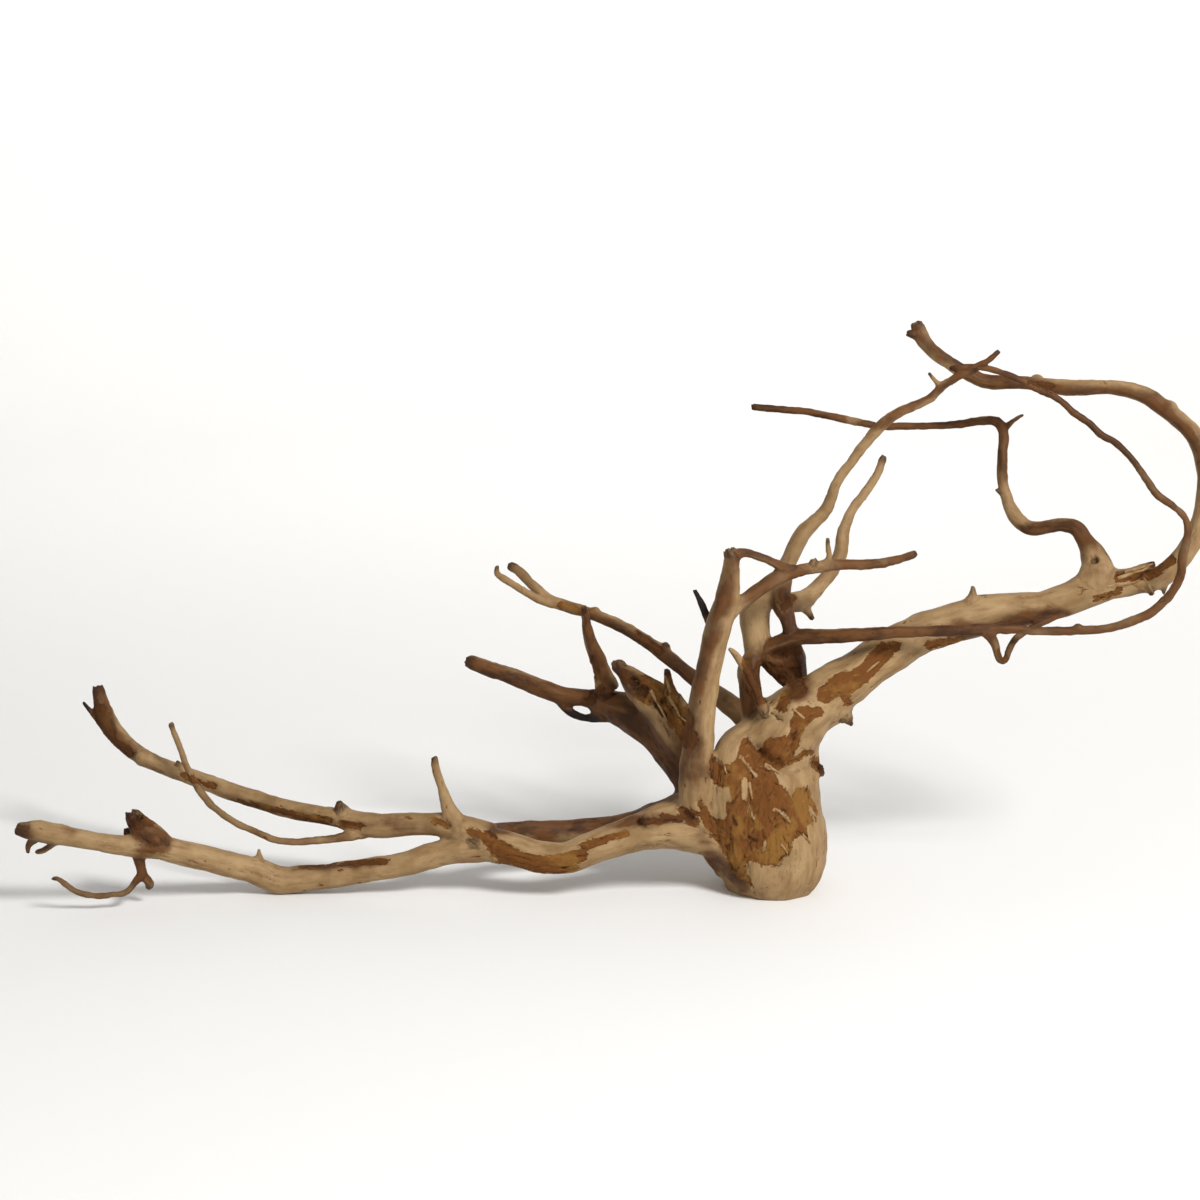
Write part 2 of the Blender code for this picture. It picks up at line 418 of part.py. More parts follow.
def fillet_crotches(item, routes):
    """Smooth where the wood is thick, so that limbs grow out of it in soft fillets and twigs stay thin."""
    samples = [sample for route in routes.values() for sample in route]
    tree = kdtree.KDTree(len(samples))
    for index, (position, _) in enumerate(samples):
        tree.insert(position, index)
    tree.balance()
    group = item.vertex_groups.new(name="fillet")
    for vertex in item.data.vertices:
        _, index, _ = tree.find(vertex.co)
        radius = samples[index][1]
        weight = (radius - FILLET_NO_RADIUS) / (FILLET_FULL_RADIUS - FILLET_NO_RADIUS)
        group.add([vertex.index], min(1.0, max(LEAST_FILLET, weight)), "REPLACE")
    smooth = item.modifiers.new("fillet", "SMOOTH")
    smooth.factor = FILLET_STRENGTH
    smooth.iterations = FILLET_ROUNDS
    smooth.vertex_group = group.name
    apply_modifiers(item)


def stand_flat(item):
    """Cut the foot, and the low bend that rests on the ground, flat at z = 0."""
    for vertex in item.data.vertices:
        vertex.co.z = max(vertex.co.z, 0.0)


def coarsen(item):
    """Bring the skin down to its triangle budget and keep what rests on the ground flat."""
    decimate = item.modifiers.new("budget", "DECIMATE")
    decimate.ratio = TRIANGLES / (2.0 * len(item.data.polygons))
    decimate.use_collapse_triangulate = True
    apply_modifiers(item)
    for vertex in item.data.vertices:
        if vertex.co.z < GROUND_SNAP:
            vertex.co.z = 0.0


def wood_material():
    """Pale, dry, peeled wood."""
    material = bpy.data.materials.new("wood")
    material.use_nodes = True
    shader = material.node_tree.nodes["Principled BSDF"]
    shader.inputs["Base Color"].default_value = WOOD_COLOUR
    shader.inputs["Roughness"].default_value = WOOD_ROUGHNESS
    return material


def build_driftwood():
    """The whole piece, as one solid."""
    parts = new_collection("driftwood")
    helpers = new_collection("helpers")
    routes = {name: smooth_route(points) for name, points in LIMBS.items()}
    item = bpy.data.objects.new("driftwood", rough_shape(routes, helpers))
    parts.objects.link(item)
    fuse(item)
    cut_hollows(item, helpers)
    fillet_crotches(item, routes)
    stand_flat(item)
    coarsen(item)
    item.data.materials.clear()
    item.data.materials.append(wood_material())
    item.data.shade_smooth()


clear_scene()
build_driftwood()
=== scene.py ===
"""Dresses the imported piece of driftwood: a peeled, flaked wood surface, loose splinters, and a studio."""

import math

import bpy
import numpy as np
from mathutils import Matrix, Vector, noise


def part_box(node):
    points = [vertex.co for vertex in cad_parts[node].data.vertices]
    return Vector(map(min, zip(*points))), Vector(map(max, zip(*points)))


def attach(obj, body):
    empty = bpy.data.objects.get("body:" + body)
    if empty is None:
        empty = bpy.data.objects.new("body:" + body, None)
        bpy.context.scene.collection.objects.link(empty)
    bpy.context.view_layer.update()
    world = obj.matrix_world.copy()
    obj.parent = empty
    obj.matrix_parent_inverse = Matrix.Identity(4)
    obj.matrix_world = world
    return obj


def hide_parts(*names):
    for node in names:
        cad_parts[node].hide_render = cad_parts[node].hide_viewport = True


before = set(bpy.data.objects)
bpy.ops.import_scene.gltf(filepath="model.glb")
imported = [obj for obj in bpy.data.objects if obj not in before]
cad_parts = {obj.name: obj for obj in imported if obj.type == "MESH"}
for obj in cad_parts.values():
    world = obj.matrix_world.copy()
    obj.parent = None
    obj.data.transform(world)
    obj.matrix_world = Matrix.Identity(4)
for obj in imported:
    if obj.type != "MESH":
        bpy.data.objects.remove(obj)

bl_info = {
    "name": "Driftwood",
    "version": (1, 0, 0),
    "blender": (4, 5, 0),
    "location": "3D View > Sidebar > Driftwood",
    "description": "Grows a peeled, flaked piece of root driftwood and lights it",
    "category": "Add Mesh",
}

MM = 0.001

# The front view looks along +Y, a little from above
VIEW_TILT = math.radians(12.0)
VIEW_DISTANCE = 1167.0 * MM
VIEW_AIM = Vector((-89.9, 0.0, 150.2)) * MM
VIEW_AIM_ACROSS = -87.5 * MM
VIEW_AIM_UP = 143.25 * MM
AHEAD = Vector((0.0, math.cos(VIEW_TILT), -math.sin(VIEW_TILT)))
UPWARD = Vector((0.0, math.sin(VIEW_TILT), math.cos(VIEW_TILT)))
EYE = VIEW_AIM - AHEAD * VIEW_DISTANCE

# Limbs: (across, up, depth, thickness) in millimetres as the front view shows them
LIMBS = {
    "stump": [(-10, -10.2, 0, 10), (-10, -6.2, 0, 23), (-9.5, -2.2, 0, 34), (-7.2, 2.2, 0, 47),
        (-5, 8.2, 0, 55.5), (-2.5, 16.8, 0, 58.5), (-2, 27.2, 0, 56.5), (-3.5, 39.2, 0, 54),
        (-3.5, 50.8, 0, 52), (-3.5, 59.2, 0, 49), (-3, 67.2, 0, 43), (-2, 73.2, 0, 33),
        (-1, 78.2, 0, 20)],
    "arm_buttress": [(4, 14.2, 3, 33), (7, 29.2, 3, 33), (8, 45.2, 2, 31), (8.5, 59.2, 0, 28),
        (9, 70.2, -2, 26.5), (14, 81.8, -4, 23), (23.5, 91.2, -5, 26)],
    "front_buttress": [(-13.5, 12.2, -11, 27), (-18.5, 27.2, -14, 25), (-21.5, 42.2, -16, 24),
        (-22, 55.2, -17, 23), (-20.5, 65.2, -14, 22.5), (-15.5, 72.8, -9, 19), (-3.5, 81.2, -5, 16)],
    "back_buttress": [(-5.5, 12.2, 9, 30), (-7.5, 30.8, 12, 29), (-9, 47.2, 14, 28),
        (-9, 60.8, 15, 26), (-6.5, 72.2, 13, 22), (0.5, 82.2, 9, 18), (7.5, 90.8, 7, 15)],
    "side_buttress": [(-18.5, 10.2, 5, 23), (-26.5, 24.2, 6, 27), (-30.5, 38.2, 7, 28),
        (-35.5, 50.2, 9, 27), (-40.5, 59.2, 10, 23)],
    "prong": [(-28.5, 24.2, -8, 22), (-35, 32.2, -14, 22), (-39, 43.2, -18, 19),
        (-39.5, 58.2, -21, 17), (-38, 73.2, -24, 15.5), (-36, 93.2, -27, 14),
        (-33.2, 108.2, -29, 13.2), (-30, 123.2, -31, 13), (-27.2, 133.2, -33, 13),
        (-24.2, 142.2, -34, 12.5), (-23, 151.2, -34, 10.5), (-22, 159.2, -34, 8.5),
        (-21.8, 164.2, -34, 8), (-22.5, 166.2, -34, 6.5)],
    "prong_bridge": [(-21, 165.2, -34, 5.5), (-15.5, 167, -33, 4.5), (-9, 165.2, -31, 4),
        (-2.5, 162.8, -29, 4), (4, 159.8, -27, 4.5), (10, 158.2, -25, 5)],
    "prong_reach": [(-22.5, 138.8, -33, 10), (-15, 143.2, -31, 7), (-7.5, 148.8, -29, 7),
        (0, 153.8, -27, 7), (7.5, 157, -25, 7), (15, 158.5, -23, 6), (23.5, 160, -20, 5.8),
        (35, 161, -16, 5.2), (45, 161, -12, 5), (55, 162, -6, 4.5), (64, 164.2, 0, 4),
        (69.5, 166.2, 6, 3.8)],
    "reach_twig": [(24.5, 160.2, -20, 4), (27.2, 164.8, -21, 2.8), (26.5, 169.8, -22, 2.5),
        (26.5, 173.8, -23, 2)],
    "reach_knob": [(19.5, 159.2, -22, 5), (19, 162.5, -23, 4)],
    "whip": [(-7.5, 112.2, 5, 7), (-7.5, 115.8, 4, 14), (-9.5, 126.8, 6, 14), (-10.2, 136.2, 8, 15),
        (-5.5, 144.8, 6, 12.5), (1.5, 153, 4, 10), (6.5, 161.8, 2, 8.5), (10.5, 170.2, 1, 8.2),
        (14.5, 177.2, 0, 8), (19.5, 182.2, -1, 7.2), (25, 187.8, -2, 6.5), (28.2, 194.8, -2, 5.8),
        (31, 202.2, -3, 5), (36, 209.2, -3, 4.8), (43.5, 219.5, -4, 5), (51.5, 228.8, -5, 5.8),
        (58, 234.5, -6, 5.5), (65, 238.5, -6, 5), (72.5, 241.5, -5, 4.5), (78.5, 244.8, -5, 4.5),
        (83.5, 249.8, -6, 4.2), (88.5, 253.2, -7, 4), (94, 256.2, -8, 3.8), (99.5, 258.2, -8, 3.5)],
    "whip_thorn": [(84, 249.2, -6, 3.5), (80.8, 252.2, -6, 2.5), (79, 254.2, -6, 1.8),
        (77, 256.8, -6, 1.5)],
    "whip_fork": [(96.5, 258.2, -8, 2.5), (102.5, 261.2, -9, 2.5), (107, 263.2, -10, 2.8),
        (111.5, 267.2, -10, 2.5)],
    "collar_strip": [(9.5, 123.2, -5, 7), (8, 128.2, -4, 7), (6.2, 135.2, -2, 8), (4, 140.2, 0, 11),
        (2.5, 146.2, 2, 11), (4.5, 153.2, 2, 9)],
    "back_rise": [(5.5, 141.8, 6, 10), (13, 142.8, 16, 10.5), (18, 146.2, 22, 8.5),
        (23.5, 151.8, 26, 7.5), (29.2, 159.2, 30, 7.2), (33, 166.8, 34, 7), (34.2, 177.2, 38, 6),
        (38, 187.5, 41, 5), (44.5, 196.2, 44, 4.5), (50.5, 205.2, 48, 4), (54, 213.8, 52, 4)],
    "rise_spur": [(13, 142.2, 15, 8.5), (16, 138.2, 16, 4.5), (18.5, 134.2, 16, 2.5)],
    "arch_leg": [(5.5, 124.8, 2, 6), (6.5, 120.8, 4, 13), (8, 114.2, 10, 15), (9.2, 107.2, 14, 13.5),
        (10.5, 100.8, 12, 12.5), (11.5, 92.2, 6, 16)],
    "arch_strap": [(-2.5, 116.2, 4, 13.5), (1.5, 110.5, 6, 13), (6.2, 104.8, 9, 10.5),
        (11, 99.2, 8, 9)],
    "arch_leg_front": [(-9, 117.2, 3, 10), (-13, 109.2, -2, 11.5), (-12.2, 98.2, -4, 11.8),
        (-10.5, 87.2, -2, 13), (-6.5, 75.8, 0, 18)],
    "splinter": [(-23, 119.2, -20, 1.8), (-20.5, 116.8, -18, 3), (-17.5, 112.8, -17, 3.8),
        (-13.5, 105.8, -15, 3.8), (-9, 96.8, -15, 3.8), (-5.5, 87.2, -16, 5)],
    "tendril": [(-11.5, 115.8, 4, 10), (-6.5, 118.2, 3, 9.5), (-0.5, 120.2, 0, 9), (6, 123.2, -3, 8.5),
        (12.5, 124.8, -6, 8), (27.5, 125.2, -12, 7.5), (43.5, 126, -17, 6.8), (60, 127, -20, 5.8),
        (75, 127.5, -22, 5.2), (91, 128, -24, 5.5), (105, 128.5, -25, 5.5), (120, 128.8, -25, 4.5),
        (129.5, 127.8, -26, 4.2), (151.5, 128, -28, 4.2), (166.5, 129.2, -29, 4.2),
        (176.5, 132, -30, 4.5), (186, 135.8, -31, 4.5), (193.5, 141.5, -32, 4.5),
        (199.2, 148.2, -33, 4.5), (203, 155.8, -33, 4.5), (204, 165.2, -33, 4.5), (206, 173.2, -33, 4),
        (206.5, 179.8, -32, 3.5), (204.5, 185.2, -31, 3.2), (199.2, 190.2, -30, 3.2),
        (191.2, 196, -28, 3.8), (185.2, 204.5, -25, 3.5), (179.2, 212.8, -22, 3.2),
        (170.8, 221.5, -20, 3.2), (163.2, 225.8, -18, 3.5), (157.5, 231.5, -16, 3.5),
        (150, 236.5, -14, 3.5), (144, 242, -13, 3.2), (139, 245.2, -12, 3.2), (132, 248.5, -11, 3.5),
        (124, 252.5, -10, 3.2), (117.5, 255.5, -9, 3.2), (109.5, 258.2, -8, 3), (101.5, 259.8, -8, 3),
        (93.5, 259.8, -7, 3), (88, 259, -6, 2.5)],
    "tendril_loop": [(104, 127.8, -25, 4.5), (107.5, 125.2, -26, 4.8), (110, 121.2, -26, 4.2),
        (111.5, 115.8, -26, 3.8), (113, 112.8, -25, 3.2), (115.5, 113.8, -23, 3.2),
        (117, 118.2, -20, 3.2), (119.5, 122.8, -17, 3.2), (123, 126, -14, 3.2),
        (129.5, 129.8, -11, 3.2), (136.5, 133.2, -9, 3.2), (145.5, 137.5, -8, 3.5),
        (155.5, 141.5, -7, 3.5), (165, 144.8, -7, 4)],
    "great_arm": [(0, 70.8, -4, 39), (11, 84.8, -6, 33.5), (23.5, 94.8, -5, 28.5),
        (37.5, 104, -4, 24.2), (52.5, 114.5, -2, 23), (70, 124.8, 0, 21.5), (87.5, 131.2, 0, 20.5),
        (105, 135.8, 0, 21), (120, 137.5, -1, 18), (135, 140.2, -2, 16), (148.5, 144.8, -3, 16.5),
        (161.5, 150.5, -4, 18), (173.5, 151.8, -5, 14.5), (185, 152.8, -6, 12.5),
        (193.5, 155.5, -9, 11), (201.5, 162.5, -12, 10.2), (209.5, 173.8, -14, 10),
        (213.5, 184.2, -16, 10), (215.8, 197.2, -16, 10), (215.8, 208.2, -15, 9.8),
        (213.8, 217.2, -12, 9.2), (209.5, 225.8, -8, 8.8), (202.5, 233, -3, 8.5), (192.5, 241, 2, 8.5),
        (184, 246.2, 5, 8.5), (172.5, 249, 9, 7.8), (164.5, 249.8, 11, 7.2), (149.5, 249.2, 15, 8),
        (139, 250.2, 18, 7.5), (124, 252, 22, 6.5), (112.5, 252, 25, 7), (105, 252.8, 27, 7.2),
        (98, 255.8, 29, 6.8), (91, 259.5, 31, 6.5), (83.5, 264.2, 34, 6.8), (77.2, 269.5, 37, 7),
        (73, 275.5, 40, 7.5), (71.5, 279.5, 42, 7.2)],
    "arm_tip_lobe": [(74.5, 274.2, 40, 5.5), (70, 276, 39, 4.8), (67.2, 276.5, 38, 3.5)],
    "arm_stub": [(168.5, 153, -9, 10), (177.5, 156, -11, 6.5), (183.5, 159, -12, 4.5),
        (189, 161.2, -12, 3)],
    "arm_spur": [(31.5, 90.8, -8, 15), (35.5, 84.8, -9, 7.5), (38.5, 80.8, -9, 1.8)],
    "arm_thorn": [(98, 142.2, -2, 8), (99, 146.2, -2, 4), (99, 149.8, -2, 2)],
    "crook": [(160.8, 153.8, -4, 20), (160.8, 160.8, 1, 15), (158.5, 167.2, 5, 12),
        (155, 173.2, 9, 8.5), (151, 179, 12, 8), (144, 181, 15, 6.8), (136, 179.8, 18, 7),
        (128, 179, 21, 7.2), (121.5, 183.5, 25, 7.5), (116.8, 191.8, 30, 6), (113.8, 203.2, 36, 5.5),
        (113.8, 215.8, 41, 5.2), (114.5, 224.8, 45, 5.2), (112.8, 231, 47, 4.8), (108.5, 233, 48, 4.5),
        (100, 232.5, 50, 4.2), (92.5, 231.2, 52, 4), (82.5, 230.5, 54, 3.5), (72.5, 230.2, 56, 3.5),
        (62.5, 230.2, 58, 3.5), (52.5, 230.2, 60, 3.5), (42.5, 232, 61, 3.8), (33, 234, 62, 3.8),
        (22.5, 236.2, 64, 3.5), (12.5, 237.8, 66, 3.5), (0, 238.8, 68, 3.5), (-11, 239.8, 70, 3.2)],
    "crook_twig": [(114, 227.8, 46, 4), (117.5, 231.5, 47, 2.5), (120, 233.5, 48, 2),
        (124, 235.8, 49, 1.5)],
    "crook_thorn": [(114, 196.8, 33, 4), (110.5, 198.5, 32, 1.2)],
    "far_fork": [(-3.5, 69.2, 8, 14), (-5.5, 73.2, 12, 17), (-11.5, 81.2, 16, 13),
        (-18.5, 87.8, 20, 11.5), (-27, 94.2, 26, 10), (-34.5, 99.8, 33, 8.5), (-41.8, 105.2, 38, 7.5),
        (-48.8, 111, 42, 7.2), (-55.8, 116.5, 46, 7.2), (-68.8, 125.5, 53, 6.2), (-81.2, 132, 58, 6.2),
        (-92, 136.5, 62, 5.8), (-102, 139.5, 66, 5.8), (-109.5, 141.8, 68, 5.8), (-115, 145.2, 70, 5),
        (-121.5, 151, 74, 4.8), (-127.5, 157.2, 78, 4.8), (-131.5, 159.8, 80, 4.8)],
    "fork_second": [(-111, 141.2, 68, 4.5), (-118.5, 143.8, 66, 4), (-127, 148.5, 62, 3.5),
        (-135, 153.5, 58, 3.5), (-139, 156.5, 55, 2.8), (-139, 159.8, 54, 2)],
    "fork_thorn": [(-55.5, 117.2, 46, 4.5), (-54.8, 120.5, 46, 2.5)],
    "near_fork": [(-32, 47.2, 6, 30), (-41.2, 60.5, 12, 27), (-51.2, 72, 20, 25.5),
        (-63.5, 82, 27, 23), (-75.5, 88.2, 34, 18.5), (-86.5, 92.2, 41, 14), (-94, 94, 45, 9),
        (-100, 94.5, 46, 8.8), (-106.5, 95.5, 48, 9), (-115, 98.5, 50, 9.5), (-121.5, 101, 52, 9),
        (-130, 104.5, 54, 8.5), (-137.5, 107.2, 56, 8.2), (-145, 109.8, 58, 7.8),
        (-151.5, 112, 60, 7.5)],
    "eye_strand": [(-108, 93.8, 48, 5.5), (-104, 88.8, 47, 4.5), (-99, 85.5, 45, 3.8),
        (-92.5, 84.2, 42, 4), (-84.5, 86.8, 37, 10)],
    "fork_spike": [(-83.5, 98.2, 37, 13), (-86.2, 106.2, 36, 9.5), (-89, 114.8, 34, 7.8),
        (-92.2, 122.2, 32, 6.5), (-94.2, 130.8, 30, 4.8), (-95.2, 137.2, 29, 3.8),
        (-95.5, 139.8, 28, 2.8)],
    "torn_limb": [(-40.5, 68.2, 8, 25), (-50.5, 81.2, 10, 22), (-59.5, 91.8, 13, 19.5),
        (-68, 100.2, 16, 15), (-74, 106.2, 18, 9.5), (-78, 110, 19, 6)],
    "torn_tooth": [(-51, 91.8, 5, 10), (-53, 99.8, 3, 5.5), (-54, 107.8, 2, 3.2)],
    "torn_tooth_low": [(-43.5, 85.2, 3, 9), (-46.5, 91.2, 2, 5), (-48, 95.8, 2, 2)],
    "low_root": [(-23.5, 26.2, -4, 29), (-37.5, 29.2, -11, 27.5), (-50.5, 30.8, -15, 26),
        (-65, 27.8, -18, 20.5), (-78, 24.2, -20, 17.5), (-91, 19.2, -21, 16.2),
        (-103.5, 14.5, -21, 16.5), (-116.5, 14.8, -20, 16.5), (-129.5, 18, -18, 16.5),
        (-140, 20.2, -15, 17.5), (-148.5, 21.8, -14, 17.5)],
    "upper_reach": [(-141.5, 23.8, -15, 16), (-155, 28.8, -13, 13), (-166, 30.8, -11, 12),
        (-176.5, 31, -9, 11.2), (-187.5, 30.8, -7, 11.8), (-197, 30.2, -5, 12.5),
        (-206.5, 31.5, -3, 12), (-217, 34, 0, 10), (-227.5, 36, 3, 9), (-237.5, 37.5, 7, 9),
        (-244.5, 39, 10, 9), (-265, 45.2, 19, 8.8), (-285.5, 52.5, 27, 8.5), (-301, 58.2, 34, 8.2),
        (-316, 64.8, 40, 8), (-325.5, 71.8, 44, 9), (-332, 78.8, 47, 10), (-335.5, 86.8, 49, 9),
        (-337.5, 94.2, 51, 7.2), (-338.2, 98.2, 52, 6)],
    "reach_tip_thorn": [(-337, 81.2, 48, 3.5), (-341, 86, 49, 2.2), (-343.5, 89.2, 50, 2),
        (-345.8, 91.8, 51, 1.5)],
    "upper_knob": [(-216, 37.2, -1, 8), (-217.8, 40.8, -2, 4.5)],
    "upper_spur": [(-295, 57.8, 30, 4.5), (-299, 62.2, 31, 2)],
    "runner": [(-205, 27.8, -4, 7.5), (-217, 24.5, -8, 4.5), (-227.5, 23.2, -11, 3.8),
        (-239.5, 22.2, -13, 3.5), (-249.5, 23.2, -14, 3.5), (-260, 27.5, -12, 3.2),
        (-270, 32, -8, 3.2), (-280.5, 39.5, -1, 3.2), (-287.5, 47.8, 8, 3.8), (-293.5, 58.2, 17, 3.2),
        (-297.5, 69.2, 21, 3), (-300.5, 76.8, 24, 2.8), (-302, 80.8, 25, 3)],
    "upright": [(-158, 29.2, -13, 12), (-162, 36.2, -13, 8.5), (-164.5, 42.8, -12, 6.2),
        (-166.5, 49.2, -11, 4.8), (-168.8, 55.8, -10, 4), (-170, 60.8, -9, 3.8),
        (-170.2, 63.8, -9, 3.5)],
    "lower_reach": [(-142.5, 20.2, -15, 17.5), (-156, 19, -15, 14.5), (-166, 16.8, -14, 13.2),
        (-176.5, 13.8, -14, 13), (-186.5, 10.8, -14, 12.5), (-207, 7.5, -13, 12.5),
        (-222.5, 5.2, -11.5, 12.8), (-237.5, 4, -10.5, 13.2), (-247.5, 3.2, -10, 14.5),
        (-256.5, 6.5, -11.5, 14), (-265, 9, -15, 13), (-285.5, 14, -24, 13), (-306, 18.8, -33, 12.5),
        (-316, 19.8, -36, 11.2), (-326.5, 20.5, -39, 10.2), (-336, 21.8, -42, 9.2),
        (-347.5, 23.8, -45, 9.2), (-357.5, 25.8, -47, 10.5), (-366.5, 27.5, -49, 11),
        (-372.5, 28.2, -50, 9.5), (-376, 28.5, -51, 8)],
    "lower_thorn": [(-258, 11.2, -12, 8), (-258, 15.2, -12, 3.5), (-258, 18.2, -12, 1.5)],
    "lower_stub": [(-305.5, 20.2, -33, 11), (-310.5, 24.8, -33, 12.5), (-316.5, 29.2, -34, 12),
        (-320.5, 34.2, -35, 9)],
    "lower_spur": [(-319.5, 20.2, -30, 7), (-323, 25.2, -27, 5), (-324.2, 28.2, -26, 3)],
    "under_twig": [(-319, 19.2, -36, 6.5), (-318, 13.8, -34, 5.8), (-317, 9.2, -32, 4.8),
        (-316.8, 5.8, -32, 4.8), (-319.5, 2.8, -33, 3.5), (-322, -0.5, -35, 3), (-325, -3.2, -37, 3),
        (-331, -4, -38, 2.8), (-338.5, -4.8, -39, 2.8), (-345.5, -3.8, -40, 2.8),
        (-350.5, -2, -42, 2.8), (-355, 1.2, -44, 2.8), (-358.5, 3.8, -46, 2.2), (-361, 4, -47, 2)],
    "under_knob": [(-317, 6.2, -32, 4.5), (-314, 3.5, -31, 4.2), (-312.5, 1.2, -30, 4.2),
        (-313, 0.2, -29, 3.8)],
    "tip_barb": [(-368.5, 25.2, -49, 5), (-372, 22.2, -47, 3.8), (-373.5, 19.8, -46, 2.8),
        (-373.5, 17.2, -46, 2)],
    "tip_barb_far": [(-360.5, 22.8, -48, 4.5), (-363, 19.8, -46, 3), (-366, 18, -45, 2.8),
        (-369, 17.2, -45, 2.5)],
    "back_root": [(-145.5, 24.2, -12, 14), (-135, 26.2, -2, 12.5), (-122.5, 26.8, 6, 12),
        (-107.5, 27.2, 12, 12), (-92.5, 28.2, 14, 12), (-77.5, 29.8, 13, 12.5), (-62.5, 33.2, 8, 15),
        (-45, 37.2, 2, 21)],
    "thorn_black": [(-31, 129.2, -27, 4.5), (-34.5, 136.2, -25, 4), (-37.2, 142.2, -23, 3.2),
        (-40, 147.8, -21, 2.2)],
    "stump_knob": [(19.5, 58.8, -4, 8), (23.5, 58.2, -6, 3.5)],
    "arm_barb": [(188, 151.2, -7, 5), (188.5, 147.8, -7, 2.8), (188.2, 145.8, -7, 1.8)],
    "arm_barb_outer": [(194, 152.8, -9, 5), (194.5, 148.8, -9, 2.8), (194.2, 146.5, -9, 1.8)],
}

# Knots and swellings: (across, up, depth, thickness)
KNOTS = [
    (104, 142, 1, 8), (109.5, 142, 0, 7),
    (-55, 119.5, 46, 6), (-90, 137.5, 62, 5.5),
    (-78, 110, 20, 8), (-63, 34, -27, 9),
    (20, 57.5, -6, 10), (8, 88, -19, 13), (-2, 78, 3, 30),
    (151.5, 129, -28, 5.5), (159, 162.5, 4, 9),
    (-310, 23.5, -38, 8), (-316, 64.5, 37, 9.5),
    (73.5, 275.5, 41, 7.5), (131, 252.5, 24, 8),
    (197, 238.5, 0, 10),
]

# Rotted hollows: place, and sizes across, up and in depth
HOLLOWS = [
    ((-56, 92, 2), (3.6, 6.4, 9)),
    ((-71, 101.5, 11), (6, 7, 5)), ((-66.5, 97, 8), (7, 7.5, 6)), ((-61.5, 92, 4), (6.5, 7, 6)),
    ((159.8, 163, -4.4), (4.6, 6, 6)),
    ((-318.5, 35, -38), (3.2, 5.4, 8)),
    ((-38.5, 35, -31), (2.2, 3, 5)),
    ((21, 59.5, -24), (2.4, 3.4, 6)),
]

# Strokes on the side that faces the front are (from across, from up, to across, to up, width) in
# millimetres. These are where the thin skin has flaked off
FLAKED_FRONT = [
    (12.5, 82.2, 8.5, 72.2, 6), (5.5, 94.8, 3.5, 89.2, 4.5), (12.5, 87.2, 21.5, 87.2, 4.5),
    (25.5, 96.2, 35.5, 103.2, 8), (35.5, 99.2, 46.5, 109.2, 7.5), (46.5, 109.2, 54.5, 117.2, 7.5),
    (54.5, 118.2, 59.5, 120.2, 4), (10.5, 79.2, 15.5, 83.2, 4.5), (32.5, 97.2, 36.5, 92.2, 2.5),
    (-6.5, 109.2, 7.5, 105.2, 6), (9.5, 105.2, 11.5, 98.2, 7), (-11.5, 105.2, -7.5, 93.2, 4.5),
    (-14.5, 111.2, -11.5, 98.2, 4), (0.5, 115.8, 12.5, 118.2, 3), (77.5, 120.8, 93.5, 123.2, 3.5),
    (112.5, 117.2, 114.5, 114.2, 2.5), (20.5, 62.2, 23.5, 58.8, 4), (7.5, 62.2, 17.5, 67.2, 2),
    (-37.5, 41.2, -34.5, 37.2, 2.5), (-45.5, 37.2, -40.5, 32.2, 4.5), (-56.5, 35.2, -47.5, 33.2, 2),
    (-143.5, 24.2, -134.5, 14.2, 6.5), (-137.5, 19.2, -125.5, 12.2, 7), (-125.5, 13.2, -111.5, 10.2, 7),
    (-111.5, 12.2, -97.5, 15.2, 6.5), (-94.5, 20.2, -85.5, 23.2, 3.5), (-85.5, 24.2, -74.5, 26.2, 2),
    (-152.5, 27.2, -144.5, 24.2, 2.5), (-67.5, 32.2, -53.5, 33.2, 2), (-100.5, 10.2, -107.5, 8.2, 3),
    (-237.5, 10.2, -195.5, 12.6, 1.6), (-267.5, 42.2, -237.5, 35.2, 2),
    (-237.5, 34.8, -222.5, 32.8, 1.8), (-170.5, 33.2, -163.5, 30.2, 1.6),
    (-296.5, 55.6, -280.5, 49.6, 1.6), (-216.5, 31.2, -207.5, 29.8, 2),
    (-337.5, 87.2, -333.5, 74.2, 7.5), (-331.5, 72.2, -323.5, 67.2, 4), (-312.5, 33.2, -319.5, 31.2, 5),
    (-46.5, 83.2, -55.5, 93.2, 11), (-57.5, 96.2, -64.5, 101.2, 9), (-67.5, 102.2, -75.5, 105.2, 5),
    (-42.5, 73.2, -47.5, 81.2, 7), (-51.5, 98.2, -53.5, 105.2, 3), (-62.5, 93.2, -67.5, 96.2, 4),
    (-87.5, 98.2, -92.5, 93.2, 3.5), (-92.5, 113.2, -89.5, 105.2, 3), (-69.5, 126.2, -57.5, 117.2, 2.5),
    (-107.5, 141.2, -95.5, 137.2, 2), (172.5, 154.2, 187.5, 156.2, 4), (190, 157.2, 197.5, 163.2, 4),
    (127.5, 252.2, 138.5, 250.2, 1.6), (160.5, 143.2, 172.5, 148.2, 2), (5.5, 140.2, 8.5, 144.2, 3.5),
]

